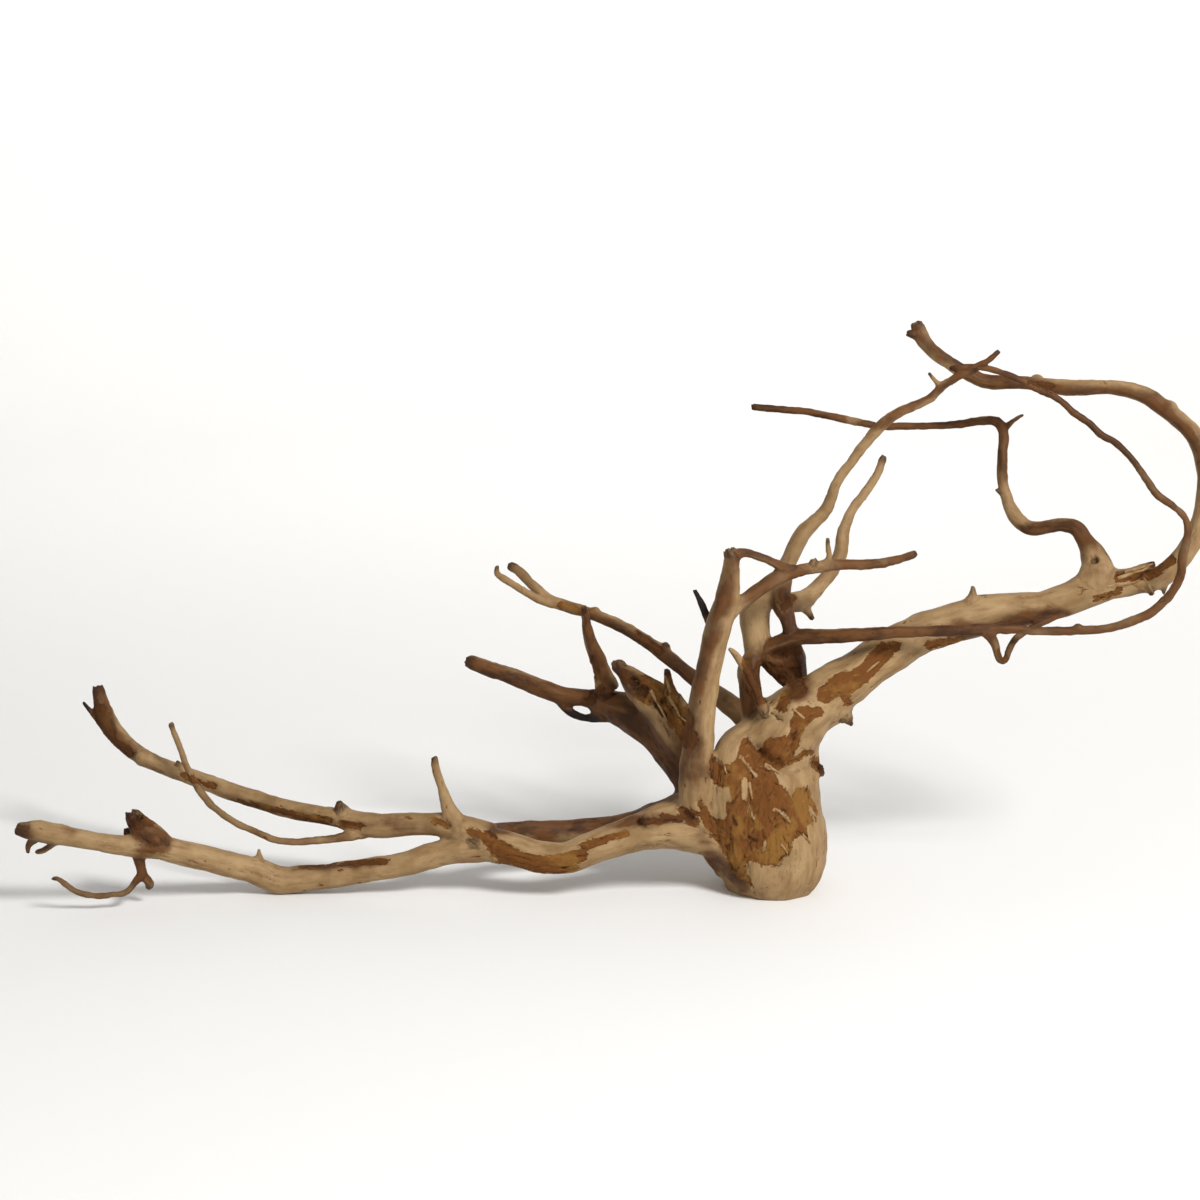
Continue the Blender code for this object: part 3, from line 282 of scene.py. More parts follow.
# Edge of the flaked patch on the trunk's front, and the lighter places in it
TRUNK_PATCH = [
    (-16.8, 73.5), (-13.9, 75.2), (-11.4, 71.8), (-9.3, 68.5), (-6, 71), (-3.5, 73.5), (-0.2, 75.2),
    (2.7, 74.3), (6.4, 76.8), (8.9, 79.3), (11.4, 81), (12.6, 82.6), (14.7, 80.1), (13.9, 77.2),
    (11.4, 74.3), (10.6, 70.2), (9.3, 66), (7.3, 61.9), (3.9, 60.2), (1.4, 57.7), (-0.2, 56.9),
    (1.4, 54.4), (2.7, 51.1), (5.6, 47.8), (8.1, 44.9), (9.3, 47), (10.6, 50.3), (12.6, 49.5),
    (14.7, 49.9), (17.2, 48.6), (18.4, 44.5), (20.5, 39.5), (21.3, 36.2), (20.9, 32), (18, 31.2),
    (16.4, 30.4), (16.8, 24.6), (15.5, 22.9), (13.9, 25.4), (11.4, 24.6), (9.3, 22.9), (8.5, 18.8),
    (7.3, 14.6), (5.2, 16.3), (3.9, 13), (2.3, 11.3), (-1, 9.7), (-3.5, 10.5), (-6.8, 11.3),
    (-10.2, 12.1), (-13.5, 13), (-14.3, 9.7), (-15.1, 7.2), (-11.8, 3.8), (-10.6, -0.3), (-12.6, -0.3),
    (-15.1, 3), (-18.5, 3.8), (-21.8, 8), (-23.4, 12.1), (-25.5, 16.3), (-27.2, 20.4), (-30.1, 23.7),
    (-33.4, 27.1), (-35.5, 31.2), (-37.5, 34.5), (-41.7, 35.4), (-42.5, 39.5), (-40, 38.7),
    (-35.9, 37.8), (-31.7, 35.4), (-25.1, 32.9), (-24.7, 37), (-24.7, 42), (-22.2, 43.6), (-21.8, 47),
    (-23.4, 49.5), (-26.7, 48.6), (-29.2, 50.3), (-31.7, 53.6), (-33, 58.6), (-32.5, 63.5),
    (-31.3, 66.9), (-28.4, 62.7), (-25.9, 61.1), (-20.1, 61.9), (-18.5, 66.9), (-17.6, 70.2),
]
OCHRE_FRONT = [
    (13.9, 47, 17.2, 35.4, 9.1), (6.4, 29.6, -3.5, 16.3, 9.1), (-23.4, 58.6, -14.3, 56.9, 6.6),
    (-12.6, 40.3, -7.7, 29.6, 3.3), (8.9, 20.4, 3.9, 14.6, 5), (-55.5, 99.2, -45.5, 85.2, 7),
    (-67.5, 98.2, -56.5, 78.2, 5),
]

# Strokes of skin left as islands in the patch, and of dark torn pits, cracks and painted shade under the
# skin's lifted edges
KEPT_FRONT = [
    (-17.2, 64.8, -9.7, 55.3, 1.8), (-4.4, 60.6, 2.3, 56.9, 1.5), (-15.6, 52.8, -14.7, 44.5, 3.7),
    (-13.9, 43.6, -10.6, 33.7, 1.3), (-0.6, 38.5, 3.1, 37.4, 1), (3.5, 37, 8.2, 32, 1.2),
    (17.6, 38.7, 20.9, 34.1, 1.8), (-4.8, 22.5, -6.4, 17.9, 0.8),
]
TORN_AND_SHADE_FRONT = [
    (6.4, 61.5, 10.6, 62.9, 1), (10.6, 62.9, 15.5, 64.4, 1), (15.5, 64.8, 17.9, 69.4, 0.8),
    (-39.6, 42.4, -37.5, 44.1, 0.7), (-37.5, 44.1, -35.5, 41.6, 0.7), (-21.1, 34.5, -19.4, 30.4, 1.7),
    (-13.1, 24.6, -9.7, 22.9, 1.8), (-6.7, 27.9, -6, 24.6, 0.8), (11.8, 27.5, 16.2, 25, 1.2),
    (1.9, 12.6, 6.4, 16.7, 1.5), (-1.9, 9.5, 3.5, 11.1, 1.2), (7.3, 64, 9.1, 66.9, 1.2),
    (7.7, 69.4, 9.9, 73.5, 1), (-32.7, 59.4, -31.6, 54.4, 1.2), (-24.9, 57.6, -22.6, 56.9, 1.3),
    (-30.9, 51.8, -26.7, 49.9, 1), (20.7, 61.5, 22.8, 59.2, 2.8), (-1.9, 86.8, 0.6, 84.9, 1.2),
    (0.6, 83.9, 3.3, 83, 0.8), (-2.9, 91.3, -1.7, 92.4, 0.8), (-13.9, 12.1, -12.6, 5.5, 0.8),
    (-1, 51.9, 1.4, 50.9, 0.8), (-3.5, 34.5, -1.9, 31.2, 0.5), (3.9, 25.4, 6, 21.3, 0.7),
    (-59.5, 91.2, -55.5, 86.2, 3), (-44.5, 37.2, -41.5, 34.2, 2.5), (-55.5, 33.2, -49.5, 33.2, 1.5),
]

# Splinters: (across, up) of the root, (across, up) run to the tip, lift off the wood, and width
SPLINTERS = [
    (171.5, 154.2, 15, 5.5, 1.5, 1.8), (175, 157.2, 14, 4, 1, 1.6), (177.5, 152.2, 8, -3.5, 2, 1.4),
    (184.5, 154.2, 5, -7, 1.5, 1.3), (166.5, 150.2, 16, 2.5, 1.2, 1.5),
    (-62.5, 98.2, 9, -15, 1.5, 2), (-57.5, 101.2, 9, -13, 1.5, 1.8), (-53.5, 95.2, 8, -12, 2, 1.6),
    (-52.5, 97.2, -2, 8.5, 1.5, 1.5), (-69.5, 103.2, 8, -12, 1, 1.6), (-60, 87.2, 7.5, -12, 1.5, 1.6),
    (-17, 64.7, 7, -9.5, 1, 1.6), (-4, 60.7, 6, -4, 0.8, 1.5), (0.5, 38.7, 7.5, -6.5, 0.8, 1.4),
    (18, 38.7, 2.5, -4.5, 0.8, 1.4), (-13, 52.2, 1.5, -8, 0.7, 2),
    (14, 26.2, 3.5, -4.5, 0.9, 1.4), (3, 21.2, 3, -4, 0.8, 1.3), (-26.5, 63.2, 2.5, -7, 0.9, 1.5),
    (14.5, 84.2, -5.5, 4.5, 0.8, 1.4), (46, 107.5, 6, 5, 0.8, 1.3),
]

# Strokes on the front where the wood is painted darker: partly real stains, partly painted shade on
# undersides and on sides turned from the light
STAIN_AND_SHADE_FRONT = [
    (112.5, 252.2, 142.5, 247.2, 9), (142.5, 247.2, 187.5, 244.2, 9), (187.5, 244.2, 210.5, 223.2, 9),
    (214.5, 218.2, 215.5, 193.2, 9), (71.5, 277.2, 105, 252.2, 8), (-41.5, 58.2, -39.5, 93.2, 9),
    (-39, 98.2, -29.5, 133.2, 7), (-26.5, 138.2, -22.5, 158.2, 8), (-87.5, 90.8, -67.5, 80.8, 13),
    (-67.5, 75.8, -50, 55.8, 13), (-107.5, 93.2, -82.5, 87.2, 9), (-152.5, 111.2, -107.5, 95.2, 5),
    (-95, 135.8, -87.5, 108.2, 5), (-77.5, 107.2, -67.5, 98.2, 7), (-42.5, 72.2, -36.5, 55.8, 10),
    (-87.5, 132.2, -42.5, 105.2, 6), (112.5, 233.2, 114.5, 208.2, 5), (121.5, 178.2, 155, 179.2, 6),
    (153, 179.2, 156.5, 173.2, 6), (58, 234.5, 96, 257, 2), (-7.5, 239.2, 32.5, 233.2, 4),
    (42.5, 231.2, 107.5, 231.2, 4), (-10.5, 109.2, -11.5, 93.2, 11), (7.5, 113.2, 12.5, 98.2, 14),
    (0.5, 115.8, 12.5, 120.8, 12), (-342.5, 98.2, -331.5, 74.2, 8), (-322.5, 30.8, -307.5, 22.2, 10),
    (-318.5, 18.2, -316.5, 3.2, 5), (-375.5, 27.2, -365.5, 22.2, 8), (-142.5, 29.2, -42.5, 34.2, 6),
    (52.5, 127.2, 112.5, 131.2, 3), (92.5, 127.2, 142.5, 137.2, 7), (167.5, 137.2, 187.5, 148.2, 5),
    (-237.5, 9.2, -195, 12.2, 3.5), (-25.5, 10.2, -15.5, 0.2, 7), (-37.5, 25.8, -29.5, 10.2, 6),
    (2.5, 143.2, 10.5, 123.2, 7), (-339.5, 98.2, -334.5, 75.8, 9), (-334.5, 74.2, -322.5, 67.2, 6),
    (-312.5, 18.2, -305, 20.8, 4), (-357.5, 28.2, -351.5, 27.2, 3), (-34.5, 118.2, -37.5, 98.2, 4),
    (-20, 163.2, -26.5, 143.2, 5), (-29.5, 138.2, -34.5, 118.2, 5), (-107.5, 99.2, -87.5, 93.2, 9),
    (-152.5, 109.2, -117.5, 98.2, 5), (-67.5, 123.2, -42.5, 107.2, 6), (0, 122.2, 52.5, 125.2, 3.5),
    (52.5, 126.2, 115, 128.2, 3), (107.5, 262.2, 142.5, 247.2, 3), (142.5, 247.2, 168.5, 223.2, 3),
    (168.5, 223.2, 187.5, 208.2, 2), (182.5, 247.2, 200, 233.2, 4), (113.5, 229.2, 112.5, 218.2, 4),
    (-11.5, 240.2, 12.5, 238.8, 3), (-81.5, 97.2, -56.5, 61.2, 7), (-40.5, 93.2, -34.5, 123.2, 3),
    (114.5, 260.2, 166.5, 224.2, 2), (-317.5, 62.2, -292.5, 50.2, 1), (-271.5, 43.2, -220, 30.2, 1),
    (-215, 32.2, -167.5, 28.2, 1.5), (-211.5, 40.2, -206.5, 30.2, 2.5), (-192.5, 37.2, -189.5, 29.2, 2),
    (-177.5, 35.8, -175.5, 30.2, 2),
]

# How dark and brown each limb is: 0 is pale skin, 1 dark brown and 1.7 black
BROWNNESS = {
    "tendril": 0.75, "tendril_loop": 0.8, "whip": 0.3, "whip_fork": 0.9, "prong_bridge": 0.95,
    "prong_reach": 0.8, "reach_twig": 0.3, "reach_knob": 0.3, "runner": 0.58, "under_twig": 0.7,
    "under_knob": 0.55, "crook": 0.42, "crook_twig": 0.85, "crook_thorn": 0.7, "thorn_black": 1.7,
    "reach_tip_thorn": 1.7, "upright": 0.35, "far_fork": 0.38, "fork_second": 0.42, "fork_thorn": 0.7,
    "fork_spike": 0.4, "near_fork": 0.5, "eye_strand": 1.7, "torn_limb": 0.35, "torn_tooth": 0.6,
    "torn_tooth_low": 0.4, "back_root": 0.6, "splinter": 0.25, "arm_stub": 0.5, "collar_strip": 0.6,
    "arch_leg": 0.6, "arch_strap": 0.65, "arch_leg_front": 0.35, "lower_stub": 0.4, "lower_spur": 0.7,
    "back_rise": 0.3, "upper_reach": 0.25, "tip_barb": 0.55, "tip_barb_far": 0.5, "arm_barb": 0.6,
    "arm_barb_outer": 0.6, "arm_tip_lobe": 0.4, "upper_spur": 0.5,
}

# Limbs that end inside the wood, and a length, in metres, that keeps their ends from showing
TRUNK_STRANDS = (
    "stump", "arm_buttress", "front_buttress", "back_buttress", "side_buttress", "collar_strip",
    "arch_leg", "arch_strap", "arch_leg_front", "back_root", "eye_strand", "tendril_loop", "lower_thorn")
BURIED_END = 1.0

# Limbs: least radius, roundness of the tips and of the section, and brownness where none is given
LEAST_RADIUS = 0.8 * MM
TIP_SHARE = 0.8
LIMB_BEVEL = 4
PLAIN_BROWNNESS = 0.1
# Noise pitches, in lump lengths, of swellings, of a twig's knobs and of its kinks
SWELL_PITCH = 1.7
KNOB_PITCH = 5.0
KINK_PITCH = 2.6
# Twigs thinner than this are knobbly, by this share of their radius
THIN_LIMB = 6.0 * MM
KNOBBLY_SHARE = 0.2
BALL_SUBDIVISIONS = 3
WELD_GAP = 0.001 * MM

# The guide takes every second sample, and each limb's grain starts elsewhere in the patterns
GUIDE_STRIDE = 2
GRAIN_SHIFT = 0.137
FIRST_SIDE = Vector((0.3, -0.8, 0.5))
NEAREST_BATCH = 4000
# Above this height, in millimetres, the stump's own grain gives way to that of its strands
STUMP_GRAIN_TOP = 56.0

# Crotch fillets set in above this limb radius, and are full this much above it, in millimetres
FILLET_RADIUS = 1.5
FILLET_RANGE = 7.5
FILLET_LEAST = 0.08
FILLET_LEVELS = 12
FILLET_FACTOR = 0.5
# Trunk smoothing sets in over these limb radii, in millimetres, and these heights
TRUNK_RADII = (8.0, 13.0)
TRUNK_HEIGHTS = (8.0 * MM, 20.0 * MM)
TRUNK_SPREAD = 20

# Noise along the grain: pitch along and across it, per millimetre, then shift and octaves
GRAIN_NOISE = {
    "ragged": (0.1, 0.3, 7.3, 3),
    "ridges": (0.035, 0.36, 11.0, 3),
    "fibres": (0.16, 0.95, 5.0, 3),
    "cracks": (0.028, 0.3, 23.0, 2),
    "pits": (0.16, 0.22, 31.0, 1),
    "splintered": (0.05, 0.5, 41.0, 2),
}
# Noise in space: millimetres across, then shift and octaves
SPACE_NOISE = {"lumps": (11.0, 1.7, 2), "cracked": (24.0, 9.0, 1)}
# How much each octave of the noise loses, and how much finer it is
OCTAVE_LOSS = 0.6
OCTAVE_STEP = 2.0

# Depth inside a stroke or an outline stays within these, and runs from 0 to 1 over a softness in millimetres
DEPTH_LIMITS = (-2.0, 1.0)
STROKE_SOFTNESS = 2.2
TORN_AND_SHADE_SOFTNESS = 1.0
STAIN_AND_SHADE_SOFTNESS = 1.4
# How the front view's marks fade where the surface turns away
FACING_GAIN = 3.0
FACING_SHARE = 0.6

# Flakes: spread past their strokes, raggedness, and chance ones on limbs above a radius in millimetres
FLAKE_SPREAD = 0.35
FLAKE_RAGGED = 0.45
CHANCE_PITCH = 0.045
CHANCE_SHIFT = 3.1
CHANCE_GAIN = 1.8
CHANCE_LOSS = 0.6
CHANCE_FRONT_LOSS = 0.5
CHANCE_RADIUS = 2.0
CHANCE_RANGE = 3.0

# Where each mark rises from 0 to 1: fields and noise by value, ends by millimetres, the foot by height
FLAKE_RISE = (-0.04, 0.1)
TORN_AND_SHADE_RISE = (-0.4, 0.5)
STAIN_AND_SHADE_RISE = (-1.4, 0.8)
OCHRE_RISE = (-1.2, 0.6)
BLACK_RISE = (1.25, 1.65)
CRACK_RISE = (0.13, 0.0)
CRACKED_RISE = (0.1, 0.4)
PIT_RISE = (0.52, 0.68)
SPLINTERED_RISE = (2.2, 0.4)
BROKEN_RISE = (3.5, 0.3)
FOOT_RISE = (0.4 * MM, 4.0 * MM)

# Relief, in millimetres: heights and depths, and shares of the settings on skin and on bare wood
LUMP_HEIGHT = 0.9
LUMP_SHARE = 0.8
FIBRE_HEIGHT = 0.42
CRACK_DEPTH = 0.75
TORN_DEPTH = 0.9
TORN_RIDGES = 0.6
SHAVED_DEPTH = 0.1
SPLINTERED_LENGTH = 0.5
SPLINTERED_LOSS = 0.15
SPLINTERED_RADIUS = 5.0
RIDGES_ON_SKIN = 0.55
RIDGES_ON_WOOD = 0.6
PITS_ON_SKIN = 0.08
PITS_ON_WOOD = 0.72
# Limb radii, in millimetres, with the full relief, and the least share that twigs get
STOUT_RADIUS = 6.0
STOUT_LEAST = 0.16
LUMP_RADIUS = 14.0
LUMP_LEAST = 0.05
PIT_RADIUS = 5.0
PIT_LEAST = 0.1
FLAKE_RADIUS = 5.0
FLAKE_LEAST = 0.15

# Paint: rounds that soften brownness and find the recesses that get painted shade, and how dark a stroke of
# stain and painted shade is
BROWN_ROUNDS = 14
RECESS_ROUNDS = 10
STAIN_AND_SHADE_DEPTH = 0.78

# Splinters: steps, depth of the root in millimetres, taper, and how far the surface is followed
SPLINTER_STEPS = 5
SPLINTER_SINK = 0.7
SPLINTER_TAPER = 0.8
SPLINTER_FOLLOW = 2.5 * MM
SPLINTER_BEVEL = 1

# How far feathers of lifted fibre run askew, in radians
FEATHER_SLANT = 0.5

CAMERA_LENS = 70.0
CAMERA_SENSOR = 36.0
CLIP_END = 50.0

# The floor turns up all round into a pale backdrop
FLOOR_RADIUS = 2.8
FLOOR_SIDES = 96
BACKDROP_HEIGHT = 1.9
FLOOR_BEND = 1.1
FLOOR_BEND_STEPS = 12

# Lights: name, place, size, watts and what they point at
LIGHTS = [
    ("key", (0.8, -1.25, 1.4), 0.55, 42.0, (0.0, 0.0, 0.12)),
    ("backdrop", (0.0, 0.9, 1.9), 1.2, 30.0, (0.0, 2.8, 1.0)),
]
SURROUND = 0.38


def to_linear(hex_colour):
    """The linear colour, with alpha, of an sRGB hex value."""
    channels = [int(hex_colour[start:start + 2], 16) / 255.0 for start in (1, 3, 5)]
    linear = [c / 12.92 if c <= 0.04045 else ((c + 0.055) / 1.055) ** 2.4 for c in channels]
    return (*linear, 1.0)


def colour_property(name, description, hex_colour):
    """A colour setting that starts at a hex value."""
    return bpy.props.FloatVectorProperty(
        name=name, description=description, subtype="COLOR", size=4, min=0.0, max=1.0,
        default=to_linear(hex_colour))


def length_property(name, description, default, least=0.0):
    """A length setting and the least that it may be."""
    return bpy.props.FloatProperty(
        name=name, description=description, default=default, min=least, subtype="DISTANCE", unit="LENGTH")


def number_property(name, description, default, least=0.0):
    """A setting without a unit and the least that it may be."""
    return bpy.props.FloatProperty(name=name, description=description, default=default, min=least)


class DriftwoodShape(bpy.types.PropertyGroup):
    """Sizes of the wood's surface."""

    voxel: length_property(
        "Skin fineness", "Size of the even mesh that joins the limbs", 0.7 * MM, 0.4 * MM)
    spacing: length_property(
        "Route spacing", "Distance between the points along a limb", 1.5 * MM, 0.1 * MM)
    triangles: bpy.props.IntProperty(
        name="Triangles", description="Triangle budget of the wood", default=194000, min=20000)
    lump_share: number_property("Lumps", "How much a limb's thickness wavers", 0.07)
    lump_length: number_property("Lump length", "Length of a lump in limb thicknesses", 1.6, 0.1)
    sway_share: number_property("Sway", "How much a limb wanders, as a share of its radius", 0.05)
    twig_gain: length_property("Twig gain", "Thickness that smoothing takes off again", 0.25 * MM)
    fillet_rounds: bpy.props.IntProperty(
        name="Crotch fillets", description="Rounds of smoothing where the wood is thick", default=26)
    trunk_rounds: bpy.props.IntProperty(
        name="Trunk smoothing", description="Rounds of smoothing of the trunk's folds", default=60)
    flake_step: length_property("Skin thickness", "Height of the step where the skin flaked off", 0.55 * MM)
    ridge_height: length_property("Grain ridges", "Height of the ridges along the grain", 0.34 * MM)
    pit_depth: length_property("Pits", "Depth of the worm and root pits", 1.0 * MM)


class DriftwoodColours(bpy.types.PropertyGroup):
    """Colours of the skin and of the wood beneath."""

    skin_pale: colour_property("Pale skin", "Lightest dry skin", "#A2865F")
    skin_tan: colour_property("Tan skin", "Common colour of the skin", "#7E603E")
    skin_russet: colour_property("Russet skin", "Lighter skin of the thin roots", "#5C3819")
    skin_brown: colour_property("Brown skin", "Darker skin of the thin roots", "#3A200D")
    skin_olive: colour_property("Olive skin", "Duller clouds in the skin", "#765B36")
    wood_orange: colour_property("Orange wood", "Bare wood under the skin", "#683F19")
    wood_ochre: colour_property("Ochre wood", "Lighter bare wood", "#7B5525")
    # Umber is the broken ends' and tears' own colour, and also painted shade in recesses and under the
    # skin's edges
    wood_umber: colour_property("Umber", "Recesses and broken ends", "#331B0C")
    wood_black: colour_property("Black", "Dead, blackened twigs", "#1E1410")
    floor: colour_property("Floor", "Plain pale floor", "#EBEAE8")


def placed(across, up, depth):
    """World position of a point of the front view, and how much larger things are there than they look."""
    ray = AHEAD * VIEW_DISTANCE + Vector((across * MM - VIEW_AIM_ACROSS, 0.0, 0.0))
    ray = ray + UPWARD * (up * MM - VIEW_AIM_UP)
    growth = (depth * MM - EYE.y) / ray.y
    return EYE + ray * growth, growth


def seen(points):
    """Front-view across and up, in millimetres, of an array of world points."""
    away = points - np.array(EYE)
    reach = away @ np.array(AHEAD) / VIEW_DISTANCE
    across = away[:, 0] / reach + VIEW_AIM_ACROSS
    up = (away @ np.array(UPWARD)) / reach + VIEW_AIM_UP
    return across / MM, up / MM


def between(before, start, end, after, share):
    """Catmull-Rom curve from start to end, for numbers and for vectors."""
    linear = (end - before) * share
    square = (before * 2.0 - start * 5.0 + end * 4.0 - after) * share ** 2
    cube = (start * 3.0 - before - end * 3.0 + after) * share ** 3
    return start + (linear + square + cube) * 0.5


def smooth_route(points, shape):
    """Closely spaced (position, radius) along a limb, with slow lumps and sways."""
    stations = []
    for across, up, depth, thickness in points:
        position, growth = placed(across, up, depth)
        stations.append((position, thickness * MM * growth / 2.0))
    first = (stations[0][0] * 2.0 - stations[1][0], stations[0][1])
    last = (stations[-1][0] * 2.0 - stations[-2][0], stations[-1][1])
    padded = [first] + stations + [last]
    samples = []
    for index in range(1, len(padded) - 2):
        span = (padded[index + 1][0] - padded[index][0]).length
        steps = max(2, math.ceil(span / shape.spacing))
        positions, radii = zip(*padded[index - 1:index + 3])
        for step in range(steps):
            share = step / steps
            radius = max(between(*radii, share), LEAST_RADIUS)
            samples.append(lumpy(between(*positions, share), radius, shape))
    tip, radius = stations[-1]
    onward = (tip - stations[-2][0]).normalized()
    samples.append((tip, radius))
    samples.append((tip + onward * (radius * TIP_SHARE), radius * TIP_SHARE))
    return samples


def lumpy(position, radius, shape):
    """A sample moved and swollen by noise whose length follows the limb's thickness."""
    place = position / (2.0 * radius * shape.lump_length)
    sway = noise.noise_vector(place) * (radius * shape.sway_share)
    swell = 1.0 + shape.lump_share * noise.noise(place * SWELL_PITCH)
    thin = max(0.0, 1.0 - radius / THIN_LIMB)
    swell += KNOBBLY_SHARE * thin * noise.noise(place * KNOB_PITCH)
    sway += noise.noise_vector(place * KINK_PITCH) * (radius * KNOBBLY_SHARE * thin)
    return position + sway, radius * swell


def deselect_all():
    """Nothing selected and nothing active."""
    bpy.ops.object.select_all(action="DESELECT")
    bpy.context.view_layer.objects.active = None


def select_only(items):
    """Select these objects, the first one active."""
    deselect_all()
    for item in items:
        item.select_set(True)
    bpy.context.view_layer.objects.active = items[0]


def add_limb(name, samples, shape):
    """A round-sectioned curve along a limb's samples."""
    curve = bpy.data.curves.new(name, "CURVE")
    curve.dimensions = "3D"
    curve.bevel_depth = 1.0
    curve.bevel_resolution = LIMB_BEVEL
    curve.use_fill_caps = True
    spline = curve.splines.new("POLY")
    spline.points.add(len(samples) - 1)
    for point, (position, radius) in zip(spline.points, samples):
        point.co = (*position, 1.0)
        point.radius = radius + shape.twig_gain
    limb = bpy.data.objects.new(name, curve)
    bpy.context.scene.collection.objects.link(limb)
    return limb


def add_ball(across, up, depth, size):
    """A ball at a point of the front view, as large as it looks in millimetres."""
    position, growth = placed(across, up, depth)
    deselect_all()
    bpy.ops.mesh.primitive_ico_sphere_add(
        subdivisions=BALL_SUBDIVISIONS, radius=size * MM * growth / 2.0, location=position)
    return bpy.context.active_object


def apply_all(item):
    """Apply an object's modifiers in their order."""
    select_only([item])
    for modifier in list(item.modifiers):
        bpy.ops.object.modifier_apply(modifier=modifier.name)


def fuse(item, size):
    """Grow overlapping closed shells together into one even skin."""
    remesh = item.modifiers.new("fuse", "REMESH")
    remesh.mode = "VOXEL"
    remesh.voxel_size = size
    apply_all(item)


def grow_limbs(routes, shape):
    """All limbs and knots joined into one mesh object and fused."""
    limbs = [add_limb(name, samples, shape) for name, samples in routes.items()]
    select_only(limbs)
    bpy.ops.object.convert(target="MESH")
    shells = list(bpy.context.selected_objects)
    shells.extend(add_ball(*knot) for knot in KNOTS)
    select_only(shells)
    bpy.ops.object.join()
    wood = bpy.context.active_object
    wood.name = "weathered_wood"
    bpy.ops.object.transform_apply(location=True, rotation=True, scale=True)
    bpy.ops.object.mode_set(mode="EDIT")
    bpy.ops.mesh.select_all(action="SELECT")
    bpy.ops.mesh.remove_doubles(threshold=WELD_GAP)
    bpy.ops.object.mode_set(mode="OBJECT")
    fuse(wood, shape.voxel)
    return wood


def cut_hollows(wood, shape):
    """Take the rotted hollows out of the wood and mesh their rims evenly."""
    for place, (wide, high, deep) in HOLLOWS:
        cutter = add_ball(*place, 1.0)
        cutter.scale = (wide, deep, high)
        boolean = wood.modifiers.new("hollow", "BOOLEAN")
        boolean.operation = "DIFFERENCE"
        boolean.solver = "MANIFOLD"
        boolean.object = cutter
        apply_all(wood)
        bpy.data.objects.remove(cutter, do_unlink=True)
    fuse(wood, shape.voxel)


class LimbGuide:
    """For points on the surface: which limb they lie on, and where on it."""

    def __init__(self, routes):
        rows = []
        for number, (name, samples) in enumerate(routes.items()):
            brownness = BROWNNESS.get(name, PLAIN_BROWNNESS)
            limb = self.limb_rows(number * GRAIN_SHIFT, brownness, samples, name in TRUNK_STRANDS)
            if name == "stump":
                limb = [row for row in limb if row[2] < STUMP_GRAIN_TOP * MM]
            rows.extend(limb)
        self.table = np.array(rows)

    @staticmethod
    def limb_rows(shift, brownness, samples, buried):
        """Rows of place, radius, grain length, length to the tip, brownness, two cross axes and tangent."""
        places = [sample[0] for sample in samples]
        lengths = [0.0]
        for start, end in zip(places, places[1:]):
            lengths.append(lengths[-1] + (end - start).length)
        whole = lengths[-1] + BURIED_END if buried else lengths[-1]
        side = FIRST_SIDE
        rows = []
        for index in range(0, len(samples), GUIDE_STRIDE):
            before = places[max(index - GUIDE_STRIDE, 0)]
            after = places[min(index + GUIDE_STRIDE, len(places) - 1)]
            tangent = (after - before).normalized()
            side = (side - tangent * side.dot(tangent)).normalized()
            other = tangent.cross(side)
            rows.append((*places[index], samples[index][1], lengths[index] + shift,
                         whole - lengths[index], brownness, *side, *other, *tangent))
        return rows

    def nearest(self, points):
        """Index of the sample whose skin is nearest to each point."""
        centres = self.table[:, 0:3].astype(np.float32)
        radii = self.table[:, 3].astype(np.float32)
        found = np.empty(len(points), dtype=np.int64)
        for start in range(0, len(points), NEAREST_BATCH):
            batch = points[start:start + NEAREST_BATCH].astype(np.float32)
            squares = (batch ** 2).sum(axis=1)[:, None] + (centres ** 2).sum(axis=1)[None, :]
            gaps = np.sqrt(np.maximum(squares - 2.0 * batch @ centres.T, 0.0)) - radii[None, :]
            found[start:start + NEAREST_BATCH] = gaps.argmin(axis=1)
        return found

    def read(self, points):
        """Radius, brownness, distance to the tip and grain coordinates at each point, in millimetres."""
        rows = self.table[self.nearest(points)]
        away = points - rows[:, 0:3]
        onward = (away * rows[:, 13:16]).sum(axis=1)
        grain = np.stack([rows[:, 4] + onward, (away * rows[:, 7:10]).sum(axis=1),
                          (away * rows[:, 10:13]).sum(axis=1)], axis=1) / MM
        to_tip = (rows[:, 5] - onward) / MM
        return {"radius": rows[:, 3] / MM, "brownness": rows[:, 6], "to_tip": to_tip, "grain": grain,
                "tangent": rows[:, 13:16]}


def read_rows(items, field, width, kind=np.float64):
    """A field of a mesh's vertices or edges as an array, one row each."""
    flat = np.empty(len(items) * width, dtype=kind)
    items.foreach_get(field, flat)
    return flat.reshape(-1, width)


def get_points(mesh):
    """Vertex positions as an array."""
    return read_rows(mesh.vertices, "co", 3)


def get_normals(mesh):
    """Vertex normals as an array."""
    return read_rows(mesh.vertices, "normal", 3)


def get_edges(mesh):
    """Edges as pairs of vertex indices."""
    return read_rows(mesh.edges, "vertices", 2, np.int64)


def set_points(mesh, points):
    """Move the vertices."""
    mesh.vertices.foreach_set("co", points.ravel())
    mesh.update()


def spread(values, edges, rounds):
    """Average vertex values with their neighbours' a number of times."""
    values = values.astype(float)
    counts = np.bincount(edges.ravel(), minlength=len(values)).astype(float)
    for _ in range(rounds):
        total = np.bincount(edges[:, 0], weights=values[edges[:, 1]], minlength=len(values))
        total += np.bincount(edges[:, 1], weights=values[edges[:, 0]], minlength=len(values))
        values = 0.5 * values + 0.5 * total / np.maximum(counts, 1.0)
    return values


def spread_points(points, edges, rounds):
    """Points averaged with their neighbours a number of times."""
    return np.stack([spread(points[:, axis], edges, rounds) for axis in range(3)], axis=1)


